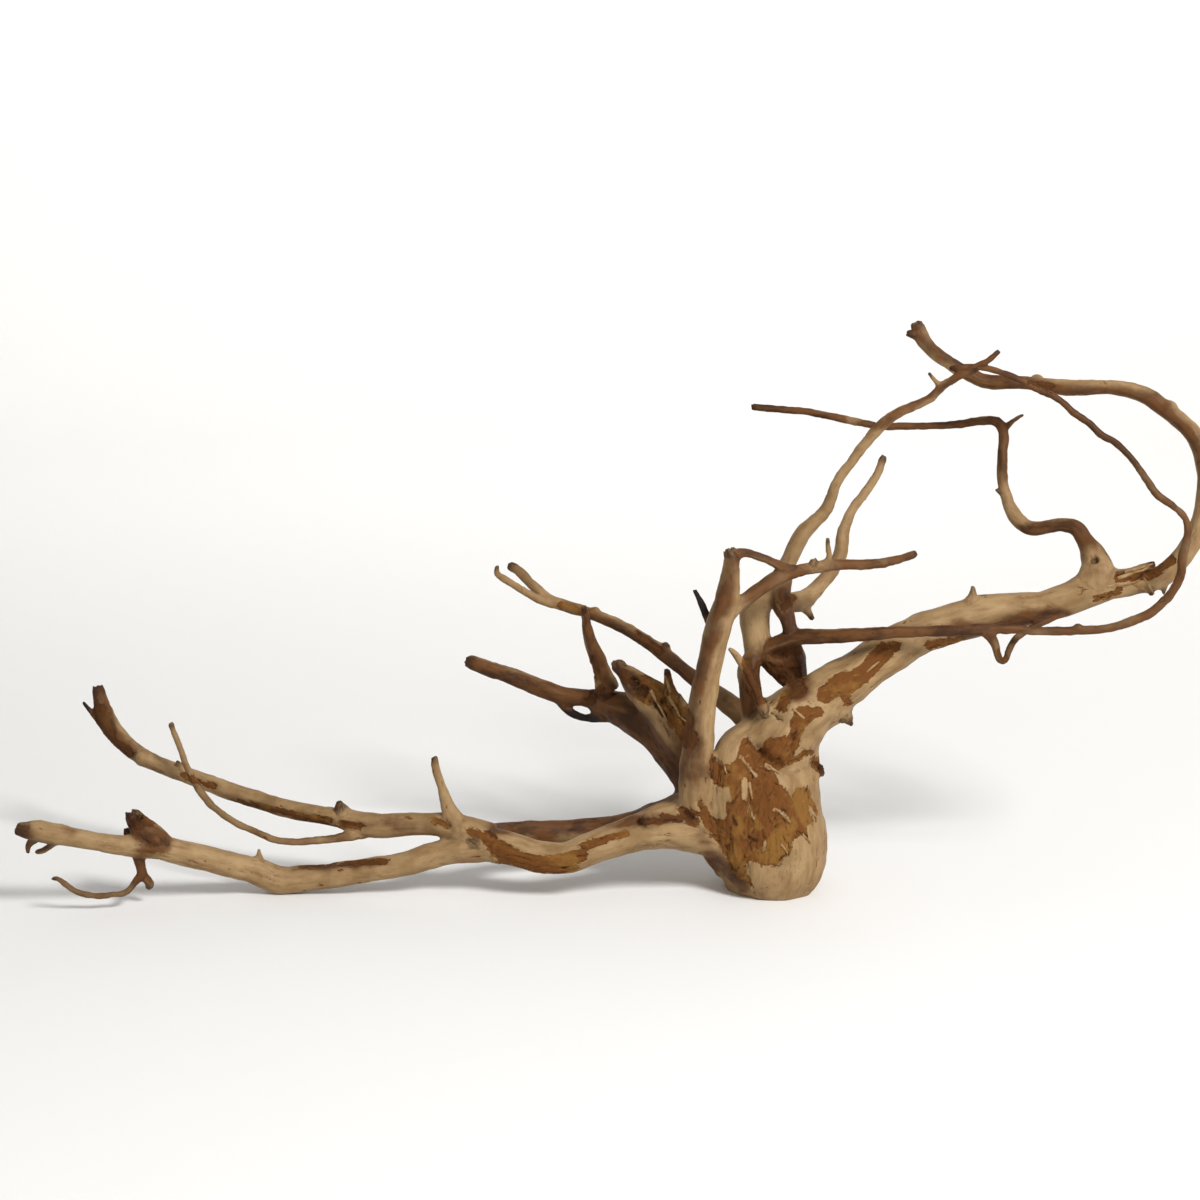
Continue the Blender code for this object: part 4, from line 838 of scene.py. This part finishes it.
def noise_at(places, octaves=1):
    """Noise from -1 to 1 at each row of an array of places."""
    if octaves == 1:
        return np.array([noise.noise(place) for place in places.tolist()])
    return np.array([noise.fractal(place, OCTAVE_LOSS, OCTAVE_STEP, octaves) for place in places.tolist()])


def grain_noise(name, grain):
    """One of the patterns that run along the grain."""
    along, across, shift, octaves = GRAIN_NOISE[name]
    return noise_at(grain * np.array([along, across, across]) + shift, octaves)


def space_noise(name, points):
    """One of the patterns in space."""
    size, shift, octaves = SPACE_NOISE[name]
    return noise_at(points / MM / size + shift, octaves)


def smooth_step(low, high, values):
    """0 below low, 1 above high, and a soft rise between."""
    share = np.clip((values - low) / (high - low), 0.0, 1.0)
    return share * share * (3.0 - 2.0 * share)


def fillet_crotches(wood, guide, shape):
    """Smooth where the wood is thick, so that limbs grow out of it softly and twigs stay thin."""
    radius = guide.read(get_points(wood.data))["radius"]
    weights = np.clip((radius - FILLET_RADIUS) / FILLET_RANGE, FILLET_LEAST, 1.0)
    group = wood.vertex_groups.new(name="fillet")
    for level in range(FILLET_LEVELS + 1):
        members = np.nonzero(np.round(weights * FILLET_LEVELS) == level)[0]
        group.add(members.tolist(), level / FILLET_LEVELS, "REPLACE")
    smooth = wood.modifiers.new("fillet", "SMOOTH")
    smooth.factor = FILLET_FACTOR
    smooth.iterations = shape.fillet_rounds
    smooth.vertex_group = group.name
    apply_all(wood)
    wood.vertex_groups.clear()


def soften_trunk(wood, guide, shape):
    """Smooth the folds between the trunk's strands, above its sawn foot."""
    mesh = wood.data
    points = get_points(mesh)
    edges = get_edges(mesh)
    weights = smooth_step(*TRUNK_RADII, spread(guide.read(points)["radius"], edges, TRUNK_SPREAD))
    weights *= smooth_step(*TRUNK_HEIGHTS, points[:, 2])
    smooth = spread_points(points, edges, shape.trunk_rounds)
    set_points(mesh, points + (smooth - points) * weights[:, None])


def gap_to_line(across, up, start, end):
    """Distance of front-view points from the line between two points, in millimetres."""
    run = np.array([end[0] - start[0], end[1] - start[1]])
    share = ((across - start[0]) * run[0] + (up - start[1]) * run[1]) / float(run @ run)
    share = np.clip(share, 0.0, 1.0)
    return np.hypot(across - start[0] - share * run[0], up - start[1] - share * run[1])


def stroke_depth(strokes, points, softness=STROKE_SOFTNESS):
    """How deep each point lies inside a set of front-view strokes: 0 at an edge, negative outside."""
    across, up = seen(points)
    depth = np.full(len(points), DEPTH_LIMITS[0])
    for from_across, from_up, to_across, to_up, width in strokes:
        gap = gap_to_line(across, up, (from_across, from_up), (to_across, to_up))
        depth = np.maximum(depth, (width / 2.0 - gap) / softness)
    return np.clip(depth, *DEPTH_LIMITS)


def outline_depth(outline, points):
    """How deep each point lies inside a closed front-view outline: 0 at its edge, negative outside."""
    across, up = seen(points)
    gap = np.full(len(points), np.inf)
    inside = np.zeros(len(points), dtype=bool)
    for start, end in zip(outline, outline[1:] + outline[:1]):
        gap = np.minimum(gap, gap_to_line(across, up, start, end))
        if start[1] != end[1]:
            crossing = start[0] + (up - start[1]) * (end[0] - start[0]) / (end[1] - start[1])
            inside ^= ((start[1] > up) != (end[1] > up)) & (across < crossing)
    return np.clip(np.where(inside, gap, -gap) / STROKE_SOFTNESS, *DEPTH_LIMITS)


def front_share(normals):
    """1 where the surface faces the front view, fading to 0 at its back."""
    facing = -(normals @ np.array(AHEAD))
    return np.clip(facing * FACING_GAIN + FACING_SHARE, 0.0, 1.0)


def flaked_field(points, normals, facts):
    """Above zero where the skin has flaked off: listed places at the front, chance places elsewhere."""
    front = front_share(normals)
    patch = np.minimum(outline_depth(TRUNK_PATCH, points), -stroke_depth(KEPT_FRONT, points))
    chosen = np.maximum(stroke_depth(FLAKED_FRONT, points) + FLAKE_SPREAD, patch)
    chance = noise_at(points / MM * CHANCE_PITCH + CHANCE_SHIFT, 2) * CHANCE_GAIN - CHANCE_LOSS
    thick = np.clip((facts["radius"] - CHANCE_RADIUS) / CHANCE_RANGE, 0.0, 1.0)
    hidden = chance * (1.0 - front) * thick - front * CHANCE_FRONT_LOSS
    field = np.maximum(chosen * front + (front - 1.0), hidden)
    return field + grain_noise("ragged", facts["grain"]) * FLAKE_RAGGED


def torn_and_shade_field(points, normals):
    """1 in the dark torn pits and cracks, and in the painted shade under the skin's lifted edges."""
    return smooth_step(*TORN_AND_SHADE_RISE, stroke_depth(TORN_AND_SHADE_FRONT, points, TORN_AND_SHADE_SOFTNESS)) * front_share(normals)


def weather_surface(wood, guide, shape):
    """Cut ridges, cracks, pits and the flaked skin's steps into the wood."""
    mesh = wood.data
    points = get_points(mesh)
    normals = get_normals(mesh)
    facts = guide.read(points)
    grain = facts["grain"]
    radius = facts["radius"]
    stout = np.clip(radius / STOUT_RADIUS, STOUT_LEAST, 1.0)
    flaked = smooth_step(*FLAKE_RISE, flaked_field(points, normals, facts))
    lumps = space_noise("lumps", points) * np.clip(radius / LUMP_RADIUS, LUMP_LEAST, 1.0) * LUMP_HEIGHT
    ridges = grain_noise("ridges", grain) * stout
    cracks = smooth_step(*CRACK_RISE, np.abs(grain_noise("cracks", grain)))
    cracks = cracks * smooth_step(*CRACKED_RISE, space_noise("cracked", points))
    pits = smooth_step(*PIT_RISE, grain_noise("pits", grain)) * np.clip(radius / PIT_RADIUS, PIT_LEAST, 1.0)
    lift = lumps * MM * LUMP_SHARE
    lift += ridges * shape.ridge_height * (RIDGES_ON_SKIN + RIDGES_ON_WOOD * flaked)
    lift -= flaked * shape.flake_step * np.clip(radius / FLAKE_RADIUS, FLAKE_LEAST, 1.0)
    lift += flaked * grain_noise("fibres", grain) * FIBRE_HEIGHT * MM * stout
    lift -= cracks * CRACK_DEPTH * MM * stout
    lift -= pits * shape.pit_depth * (PITS_ON_SKIN + PITS_ON_WOOD * flaked)
    lift -= torn_and_shade_field(points, normals) * (TORN_DEPTH + TORN_RIDGES * ridges) * MM * stout
    lift -= SHAVED_DEPTH * MM * stout
    lift *= smooth_step(*FOOT_RISE, points[:, 2])
    ends = smooth_step(*SPLINTERED_RISE, facts["to_tip"] - radius * TIP_SHARE)
    longer = (grain_noise("splintered", grain) - SPLINTERED_LOSS) * ends
    longer *= np.clip(radius, 0.0, SPLINTERED_RADIUS) * SPLINTERED_LENGTH
    points = points + normals * lift[:, None] + facts["tangent"] * (longer * MM)[:, None]
    low, high = (np.array(corner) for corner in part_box("driftwood"))
    points = np.clip(points, low, high)
    points[:, 2] = np.maximum(points[:, 2], 0.0)
    set_points(mesh, points)


def thin_out(wood, triangles):
    """Bring the wood down to its triangle budget, fewest where it is plain."""
    bpy.context.view_layer.update()
    faces = sum(len(polygon.vertices) - 2 for polygon in wood.data.polygons)
    decimate = wood.modifiers.new("budget", "DECIMATE")
    decimate.ratio = min(1.0, triangles / faces)
    decimate.use_collapse_triangulate = True
    apply_all(wood)


def splinter_samples(wood, across, up, run_across, run_up, lift, width):
    """Samples of a splinter rooted in the wood, that leaves its surface more and more towards the tip."""
    step = (Vector((run_across, 0.0, 0.0)) + UPWARD * run_up) * (MM / SPLINTER_STEPS)
    samples = []
    for index in range(SPLINTER_STEPS + 1):
        share = index / SPLINTER_STEPS
        aim, _ = placed(across + run_across * share, up + run_up * share, 0.0)
        struck, place, normal, _ = wood.ray_cast(EYE, (aim - EYE).normalized())
        if not samples:
            if not struck:
                raise RuntimeError(f"No wood under the splinter at {across}, {up}")
            base, facing = place, normal
        elif struck and (place - base - step).length < SPLINTER_FOLLOW:
            base, facing = place, normal
        else:
            base = base + step
        height = (lift * share ** 2 - SPLINTER_SINK * (1.0 - share)) * MM
        samples.append((base + facing * height, width * MM / 2.0 * (1.0 - SPLINTER_TAPER * share)))
    return samples


def write_attribute(mesh, name, values):
    """Store a number, or a vector, for each vertex."""
    kind = "FLOAT_VECTOR" if values.ndim == 2 else "FLOAT"
    attribute = mesh.attributes.new(name, kind, "POINT")
    field = "vector" if values.ndim == 2 else "value"
    attribute.data.foreach_set(field, values.astype(np.float32).ravel())


def paint_facts(wood, guide):
    """Store what the wood's material reads: grain, flaking, brownness with painted shade strokes, tips,
    hollows that get painted shade, and torn pits with painted shade under the skin's edges.
    """
    mesh = wood.data
    points = get_points(mesh)
    normals = get_normals(mesh)
    edges = get_edges(mesh)
    facts = guide.read(points)
    front = front_share(normals)
    # Stains, and painted shade on undersides and shaded sides, from the front strokes
    stain_and_shade = smooth_step(*STAIN_AND_SHADE_RISE, stroke_depth(STAIN_AND_SHADE_FRONT, points, STAIN_AND_SHADE_SOFTNESS)) * front
    brownness = facts["brownness"]
    # How far the surface lies below its smoothed self: the material paints shade into these recesses
    bent = ((spread_points(points, edges, RECESS_ROUNDS) - points) * normals).sum(axis=1)
    layers = {
        "grain": facts["grain"],
        "flaked": flaked_field(points, normals, facts),
        "brownness": spread(brownness + stain_and_shade * STAIN_AND_SHADE_DEPTH, edges, BROWN_ROUNDS),
        "broken_end": smooth_step(*BROKEN_RISE, facts["to_tip"] - facts["radius"] * TIP_SHARE),
        "painted_recess_shade": bent / MM,
        # Torn pits and cracks, and painted shade under the skin's lifted edges
        "torn": torn_and_shade_field(points, normals),
        "ochre": smooth_step(*OCHRE_RISE, stroke_depth(OCHRE_FRONT, points)) * front,
        "black": smooth_step(*BLACK_RISE, spread(brownness, edges, BROWN_ROUNDS)),
    }
    for name, values in layers.items():
        write_attribute(mesh, name, values)


def add_node(tree, kind, settings=None, links=None):
    """A node with its settings, which may be socket values, and what its inputs are linked to."""
    node = tree.nodes.new(kind)
    for key, value in (settings or {}).items():
        if isinstance(key, int) or key in node.inputs.keys():
            node.inputs[key].default_value = value
        else:
            setattr(node, key, value)
    for key, socket in (links or {}).items():
        tree.links.new(socket, node.inputs[key])
    return node


def feed(tree, node, inputs):
    """Link sockets to a node's inputs, and set those that get a number or a colour."""
    for key, value in inputs.items():
        if isinstance(value, bpy.types.NodeSocket):
            tree.links.new(value, node.inputs[key])
        else:
            node.inputs[key].default_value = value


def new_material(name):
    """A material with an empty tree, its shader and its output."""
    material = bpy.data.materials.new(name)
    material.use_nodes = True
    tree = material.node_tree
    tree.nodes.clear()
    shader = add_node(tree, "ShaderNodeBsdfPrincipled")
    add_node(tree, "ShaderNodeOutputMaterial", links={"Surface": shader.outputs["BSDF"]})
    return material, tree, shader


class Mixer:
    """Short names for the nodes that a material's pattern is made of."""

    def __init__(self, tree):
        self.tree = tree

    def attribute(self, name, output="Fac"):
        """What paint_facts stored under a name."""
        return add_node(self.tree, "ShaderNodeAttribute", {"attribute_name": name}).outputs[output]

    def pattern(self, source, scale, detail, rough, warp=0.0, size=1.0):
        """Noise from 0 to 1; scale stretches it, and size turns lengths to pattern lengths."""
        place = add_node(
            self.tree, "ShaderNodeVectorMath", {"operation": "MULTIPLY", 1: scale}, {0: source})
        return add_node(
            self.tree, "ShaderNodeTexNoise",
            {"Scale": size, "Detail": detail, "Roughness": rough, "Distortion": warp},
            {"Vector": place.outputs["Vector"]}).outputs["Fac"]

    def ramp(self, value, low, high, bottom=0.0, top=1.0):
        """A value's stretch from low to high, softly mapped to bottom and top."""
        return add_node(
            self.tree, "ShaderNodeMapRange",
            {"interpolation_type": "SMOOTHSTEP", "From Min": low, "From Max": high, "To Min": bottom,
             "To Max": top}, {"Value": value}).outputs["Result"]

    def arithmetic(self, operation, first, second):
        """Arithmetic on two values, either of which may be a number."""
        node = add_node(self.tree, "ShaderNodeMath", {"operation": operation})
        feed(self.tree, node, {0: first, 1: second})
        return node.outputs["Value"]

    def wavered(self, value, waver, gain, middle=0.5):
        """A value that a pattern takes up and down, by its distance from its middle."""
        centred = self.arithmetic("SUBTRACT", waver, middle)
        return self.arithmetic("ADD", value, self.arithmetic("MULTIPLY", centred, gain))

    def blend(self, share, first, second):
        """Two colours mixed; each is a setting or a socket."""
        node = add_node(self.tree, "ShaderNodeMix", {"data_type": "RGBA"}, {0: share})
        feed(self.tree, node, {6: first, 7: second})
        return node.outputs[2]


def root_patterns(mixer):
    """The painted facts and the noise patterns of the root wood, by name."""
    marks = {name: mixer.attribute(name)
             for name in ("flaked", "brownness", "broken_end", "painted_recess_shade", "torn", "ochre", "black")}
    grain = mixer.attribute("grain", "Vector")
    place = add_node(mixer.tree, "ShaderNodeTexCoord").outputs["Object"]
    # Fibres 0.8 mm wide, streaks 4 mm wide and 45 mm long, clouds of 16 mm, mottling of 6 by 14 mm
    marks["fibre"] = mixer.pattern(grain, (0.14, 1.2, 1.2), 4.0, 0.6)
    marks["streak"] = mixer.pattern(grain, (0.022, 0.24, 0.24), 3.0, 0.55)
    marks["cloud"] = mixer.pattern(place, (1.0, 1.0, 1.0), 3.0, 0.55, size=62.0)
    marks["mottle"] = mixer.pattern(grain, (0.07, 0.17, 0.17), 4.0, 0.6)
    # Frayed edges and feathers of lifted fibre, which run askew, drawn 2 mm wide so that they show
    askew = add_node(
        mixer.tree, "ShaderNodeMapping", {"Rotation": (0.0, FEATHER_SLANT, 0.0)},
        {"Vector": grain}).outputs["Vector"]
    ragged = mixer.pattern(grain, (0.13, 0.42, 0.42), 5.0, 0.65, 0.4)
    marks["feather"] = mixer.pattern(askew, (0.15, 0.55, 0.55), 3.0, 0.6, 0.8)
    marks["tear"] = mixer.pattern(askew, (0.1, 0.27, 0.27), 4.0, 0.65, 0.8)
    # The skin's torn edge follows the flaked field, frayed along the grain
    frayed = mixer.arithmetic("MULTIPLY", mixer.arithmetic("SUBTRACT", ragged, 0.5), 1.3)
    marks["fray"] = mixer.wavered(frayed, marks["feather"], 1.7)
    edge = mixer.arithmetic("ADD", marks["flaked"], marks["fray"])
    marks["bare"] = mixer.ramp(edge, 0.0, 0.05)
    # A thin band of painted shade on the bare wood just past the skin's edge
    marks["undercut"] = mixer.arithmetic(
        "MULTIPLY", mixer.ramp(edge, 0.0, 0.04), mixer.ramp(edge, 0.2, 0.05))
    return marks


def skin_colour(mixer, marks, colours):
    """Peeled skin: tan to pale with dull clouds, and brown to russet on the dark limbs."""
    skin = mixer.blend(mixer.ramp(marks["mottle"], 0.25, 0.75), colours.skin_tan, colours.skin_pale)
    skin = mixer.blend(mixer.ramp(marks["streak"], 0.4, 0.7, 0.0, 0.45), skin, colours.skin_pale)
    skin = mixer.blend(mixer.ramp(marks["cloud"], 0.48, 0.66, 0.0, 0.4), skin, colours.skin_olive)
    skin = mixer.blend(mixer.ramp(marks["fibre"], 0.44, 0.28, 0.0, 0.3), skin, colours.skin_brown)
    dark = mixer.blend(mixer.ramp(marks["mottle"], 0.36, 0.6), colours.skin_brown, colours.skin_russet)
    dark = mixer.blend(mixer.ramp(marks["streak"], 0.58, 0.72, 0.0, 0.4), dark, colours.skin_tan)
    # Brownness holds the limbs' own tone, stains, and painted shade from the front strokes
    brown = mixer.wavered(marks["brownness"], marks["cloud"], 0.9)
    brown = mixer.wavered(brown, marks["mottle"], 1.1)
    return mixer.blend(mixer.ramp(brown, 0.25, 0.9, 0.0, 0.96), skin, dark)


def bare_colour(mixer, marks, colours):
    """Bare wood: orange to ochre, with pale feathers of fibre, dark tears, and painted shade along the
    skin's edge.
    """
    light = mixer.wavered(marks["cloud"], marks["ochre"], 0.2, 0.3)
    wood = mixer.blend(mixer.ramp(light, 0.46, 0.6), colours.wood_orange, colours.wood_ochre)
    wood = mixer.blend(mixer.ramp(marks["feather"], 0.55, 0.72, 0.0, 0.6), wood, colours.wood_ochre)
    wood = mixer.blend(mixer.ramp(marks["feather"], 0.66, 0.76, 0.0, 0.6), wood, colours.skin_pale)
    wood = mixer.blend(mixer.ramp(marks["tear"], 0.44, 0.3, 0.0, 0.9), wood, colours.wood_umber)
    # Bare wood browns with the limbs' tone, stains and painted shade
    wood = mixer.blend(mixer.ramp(marks["brownness"], 0.3, 1.0, 0.0, 0.7), wood, colours.skin_brown)
    # Painted shade along the skin's edge, darkened towards umber
    return mixer.blend(mixer.arithmetic("MULTIPLY", marks["undercut"], 0.3), wood, colours.wood_umber)


def weathered_root_wood(colours):
    """Dry peeled root wood: satin pale skin, matt orange fibrous wood where it flaked, dark broken ends."""
    material, tree, shader = new_material("weathered_root_wood")
    mixer = Mixer(tree)
    marks = root_patterns(mixer)
    bare = marks["bare"]
    surface = mixer.blend(bare, skin_colour(mixer, marks, colours), bare_colour(mixer, marks, colours))
    # Painted shade: recesses darkened towards umber
    surface = mixer.blend(mixer.ramp(marks["painted_recess_shade"], 0.12, 0.7, 0.0, 0.7), surface, colours.wood_umber)
    # Torn pits and frayed edges, and painted shade under the skin's edges, darkened towards umber
    torn = mixer.arithmetic("ADD", marks["torn"], marks["fray"])
    surface = mixer.blend(mixer.ramp(torn, 0.35, 1.0, 0.0, 0.75), surface, colours.wood_umber)
    dark_end = mixer.arithmetic(
        "MULTIPLY", marks["broken_end"], mixer.ramp(marks["feather"], 0.66, 0.4, 0.45, 0.9))
    surface = mixer.blend(dark_end, surface, colours.wood_umber)
    surface = mixer.blend(marks["black"], surface, colours.wood_black)
    # The skin stands 0.3 mm proud of the wood, whose fibres are 0.2 mm high
    fibres = mixer.arithmetic("MULTIPLY", marks["fibre"], mixer.ramp(bare, 0.0, 1.0, 0.1, 0.4))
    height = mixer.arithmetic("ADD", mixer.arithmetic("MULTIPLY", bare, -0.3), fibres)
    height = mixer.arithmetic("ADD", height, mixer.arithmetic("MULTIPLY", marks["mottle"], 0.35))
    bump = add_node(
        tree, "ShaderNodeBump", {"Strength": 0.85, "Distance": 1.0 * MM}, {"Height": height})
    # Dry rubbed skin has a faint satin sheen, the torn wood none
    feed(tree, shader, {
        "Base Color": surface, "Roughness": mixer.ramp(bare, 0.0, 1.0, 0.6, 0.85), "IOR": 1.45,
        "Specular IOR Level": 0.22, "Normal": bump.outputs["Normal"]})
    return material


def dry_splinter_wood(colours):
    """Dry splinters lifted off the wood: pale and matt, browner in patches of about 3 mm."""
    material, tree, shader = new_material("dry_splinter_wood")
    place = add_node(tree, "ShaderNodeTexCoord").outputs["Object"]
    patches = add_node(
        tree, "ShaderNodeTexNoise", {"Scale": 1.0 / (3.0 * MM), "Detail": 3.0}, {"Vector": place})
    share = add_node(
        tree, "ShaderNodeMapRange", {"From Min": 0.35, "From Max": 0.65}, {"Value": patches.outputs["Fac"]})
    # Raised fibres about 0.8 mm apart
    fibres = add_node(
        tree, "ShaderNodeTexNoise", {"Scale": 1.0 / (0.8 * MM), "Detail": 2.0}, {"Vector": place})
    bump = add_node(
        tree, "ShaderNodeBump", {"Strength": 0.4, "Distance": 0.3 * MM}, {"Height": fibres.outputs["Fac"]})
    colour = Mixer(tree).blend(share.outputs["Result"], colours.wood_ochre, colours.skin_pale)
    feed(tree, shader, {"Base Color": colour, "Roughness": 0.8, "Normal": bump.outputs["Normal"]})
    return material


def pale_floor(colours):
    """A plain, matt, nearly white studio floor."""
    material, tree, shader = new_material("pale_floor")
    feed(tree, shader, {"Base Color": colours.floor, "Roughness": 0.9})
    return material


def add_floor(colours):
    """A round floor whose rim turns up into a backdrop."""
    deselect_all()
    bpy.ops.mesh.primitive_circle_add(vertices=FLOOR_SIDES, radius=FLOOR_RADIUS, fill_type="NGON")
    floor = bpy.context.active_object
    floor.name = "floor"
    bpy.ops.object.mode_set(mode="EDIT")
    bpy.ops.mesh.select_mode(type="EDGE")
    bpy.ops.mesh.select_all(action="SELECT")
    bpy.ops.mesh.extrude_edges_move(TRANSFORM_OT_translate={"value": (0.0, 0.0, BACKDROP_HEIGHT)})
    bpy.ops.object.mode_set(mode="OBJECT")
    bend = floor.modifiers.new("bend", "BEVEL")
    bend.width = FLOOR_BEND
    bend.segments = FLOOR_BEND_STEPS
    bend.limit_method = "ANGLE"
    apply_all(floor)
    floor.data.shade_smooth()
    floor.data.materials.append(pale_floor(colours))


def add_lights():
    """Soft area lights on the wood and the backdrop, and an even pale surround."""
    for name, place, size, power, aim in LIGHTS:
        light = bpy.data.lights.new(name, "AREA")
        light.shape = "DISK"
        light.size = size
        light.energy = power
        lamp = bpy.data.objects.new(name, light)
        lamp.location = place
        lamp.rotation_euler = (Vector(aim) - Vector(place)).to_track_quat("-Z", "Y").to_euler()
        bpy.context.scene.collection.objects.link(lamp)
    world = bpy.data.worlds.new("surround")
    world.use_nodes = True
    background = world.node_tree.nodes["Background"]
    background.inputs["Color"].default_value = (1.0, 1.0, 1.0, 1.0)
    background.inputs["Strength"].default_value = SURROUND
    bpy.context.scene.world = world


def add_camera():
    """The camera of the front view."""
    camera = bpy.data.cameras.new("front_view")
    camera.lens = CAMERA_LENS
    camera.sensor_width = CAMERA_SENSOR
    camera.clip_end = CLIP_END
    item = bpy.data.objects.new("front_view", camera)
    item.location = EYE
    item.rotation_euler = (math.pi / 2.0 - VIEW_TILT, 0.0, 0.0)
    bpy.context.scene.collection.objects.link(item)
    bpy.context.scene.camera = item


class DRIFTWOOD_OT_grow_wood(bpy.types.Operator):
    """Grow the limbs, fuse them, weather the surface and paint it"""

    bl_idname = "driftwood.grow_wood"
    bl_label = "Grow the wood"

    def execute(self, context):
        shape = context.scene.driftwood_shape
        routes = {name: smooth_route(points, shape) for name, points in LIMBS.items()}
        wood = grow_limbs(routes, shape)
        cut_hollows(wood, shape)
        guide = LimbGuide(routes)
        fillet_crotches(wood, guide, shape)
        soften_trunk(wood, guide, shape)
        weather_surface(wood, guide, shape)
        thin_out(wood, shape.triangles)
        paint_facts(wood, guide)
        wood.data.materials.clear()
        wood.data.materials.append(weathered_root_wood(context.scene.driftwood_colours))
        wood.data.shade_smooth()
        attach(wood, "root")
        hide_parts("driftwood")
        return {"FINISHED"}


class DRIFTWOOD_OT_add_splinters(bpy.types.Operator):
    """Lift a few dry splinters off the torn places"""

    bl_idname = "driftwood.add_splinters"
    bl_label = "Add splinters"

    def execute(self, context):
        wood = bpy.data.objects["weathered_wood"]
        context.view_layer.update()
        slivers = []
        for number, row in enumerate(SPLINTERS):
            samples = splinter_samples(wood, *row)
            sliver = add_limb(f"splinter_{number}", samples, context.scene.driftwood_shape)
            sliver.data.bevel_resolution = SPLINTER_BEVEL
            slivers.append(sliver)
        select_only(slivers)
        bpy.ops.object.convert(target="MESH")
        bpy.ops.object.join()
        splinters = context.active_object
        splinters.name = "loose_splinters"
        splinters.data.materials.clear()
        splinters.data.materials.append(dry_splinter_wood(context.scene.driftwood_colours))
        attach(splinters, "root")
        return {"FINISHED"}


class DRIFTWOOD_OT_set_stage(bpy.types.Operator):
    """Lay the floor, hang the lights and set the camera"""

    bl_idname = "driftwood.set_stage"
    bl_label = "Set the stage"

    def execute(self, context):
        add_floor(context.scene.driftwood_colours)
        add_lights()
        add_camera()
        context.scene.view_settings.view_transform = "Standard"
        return {"FINISHED"}


class DRIFTWOOD_PT_panel(bpy.types.Panel):
    """Settings and steps of the piece of driftwood"""

    bl_idname = "DRIFTWOOD_PT_panel"
    bl_label = "Driftwood"
    bl_space_type = "VIEW_3D"
    bl_region_type = "UI"
    bl_category = "Driftwood"

    def draw(self, context):
        layout = self.layout
        for group in (context.scene.driftwood_shape, context.scene.driftwood_colours):
            for name in group.__annotations__:
                layout.prop(group, name)
        for operator in OPERATORS:
            layout.operator(operator.bl_idname)


OPERATORS = (DRIFTWOOD_OT_grow_wood, DRIFTWOOD_OT_add_splinters, DRIFTWOOD_OT_set_stage)
CLASSES = (DriftwoodShape, DriftwoodColours, *OPERATORS, DRIFTWOOD_PT_panel)


def register():
    """Make the settings, operators and panel known to Blender."""
    for kind in CLASSES:
        bpy.utils.register_class(kind)
    bpy.types.Scene.driftwood_shape = bpy.props.PointerProperty(type=DriftwoodShape)
    bpy.types.Scene.driftwood_colours = bpy.props.PointerProperty(type=DriftwoodColours)


def unregister():
    """Take them away again."""
    del bpy.types.Scene.driftwood_colours
    del bpy.types.Scene.driftwood_shape
    for kind in reversed(CLASSES):
        bpy.utils.unregister_class(kind)


def main():
    """Build everything in order."""
    register()
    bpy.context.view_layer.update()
    bpy.ops.driftwood.grow_wood()
    bpy.ops.driftwood.add_splinters()
    bpy.ops.driftwood.set_stage()


if __name__ == "__main__":
    main()
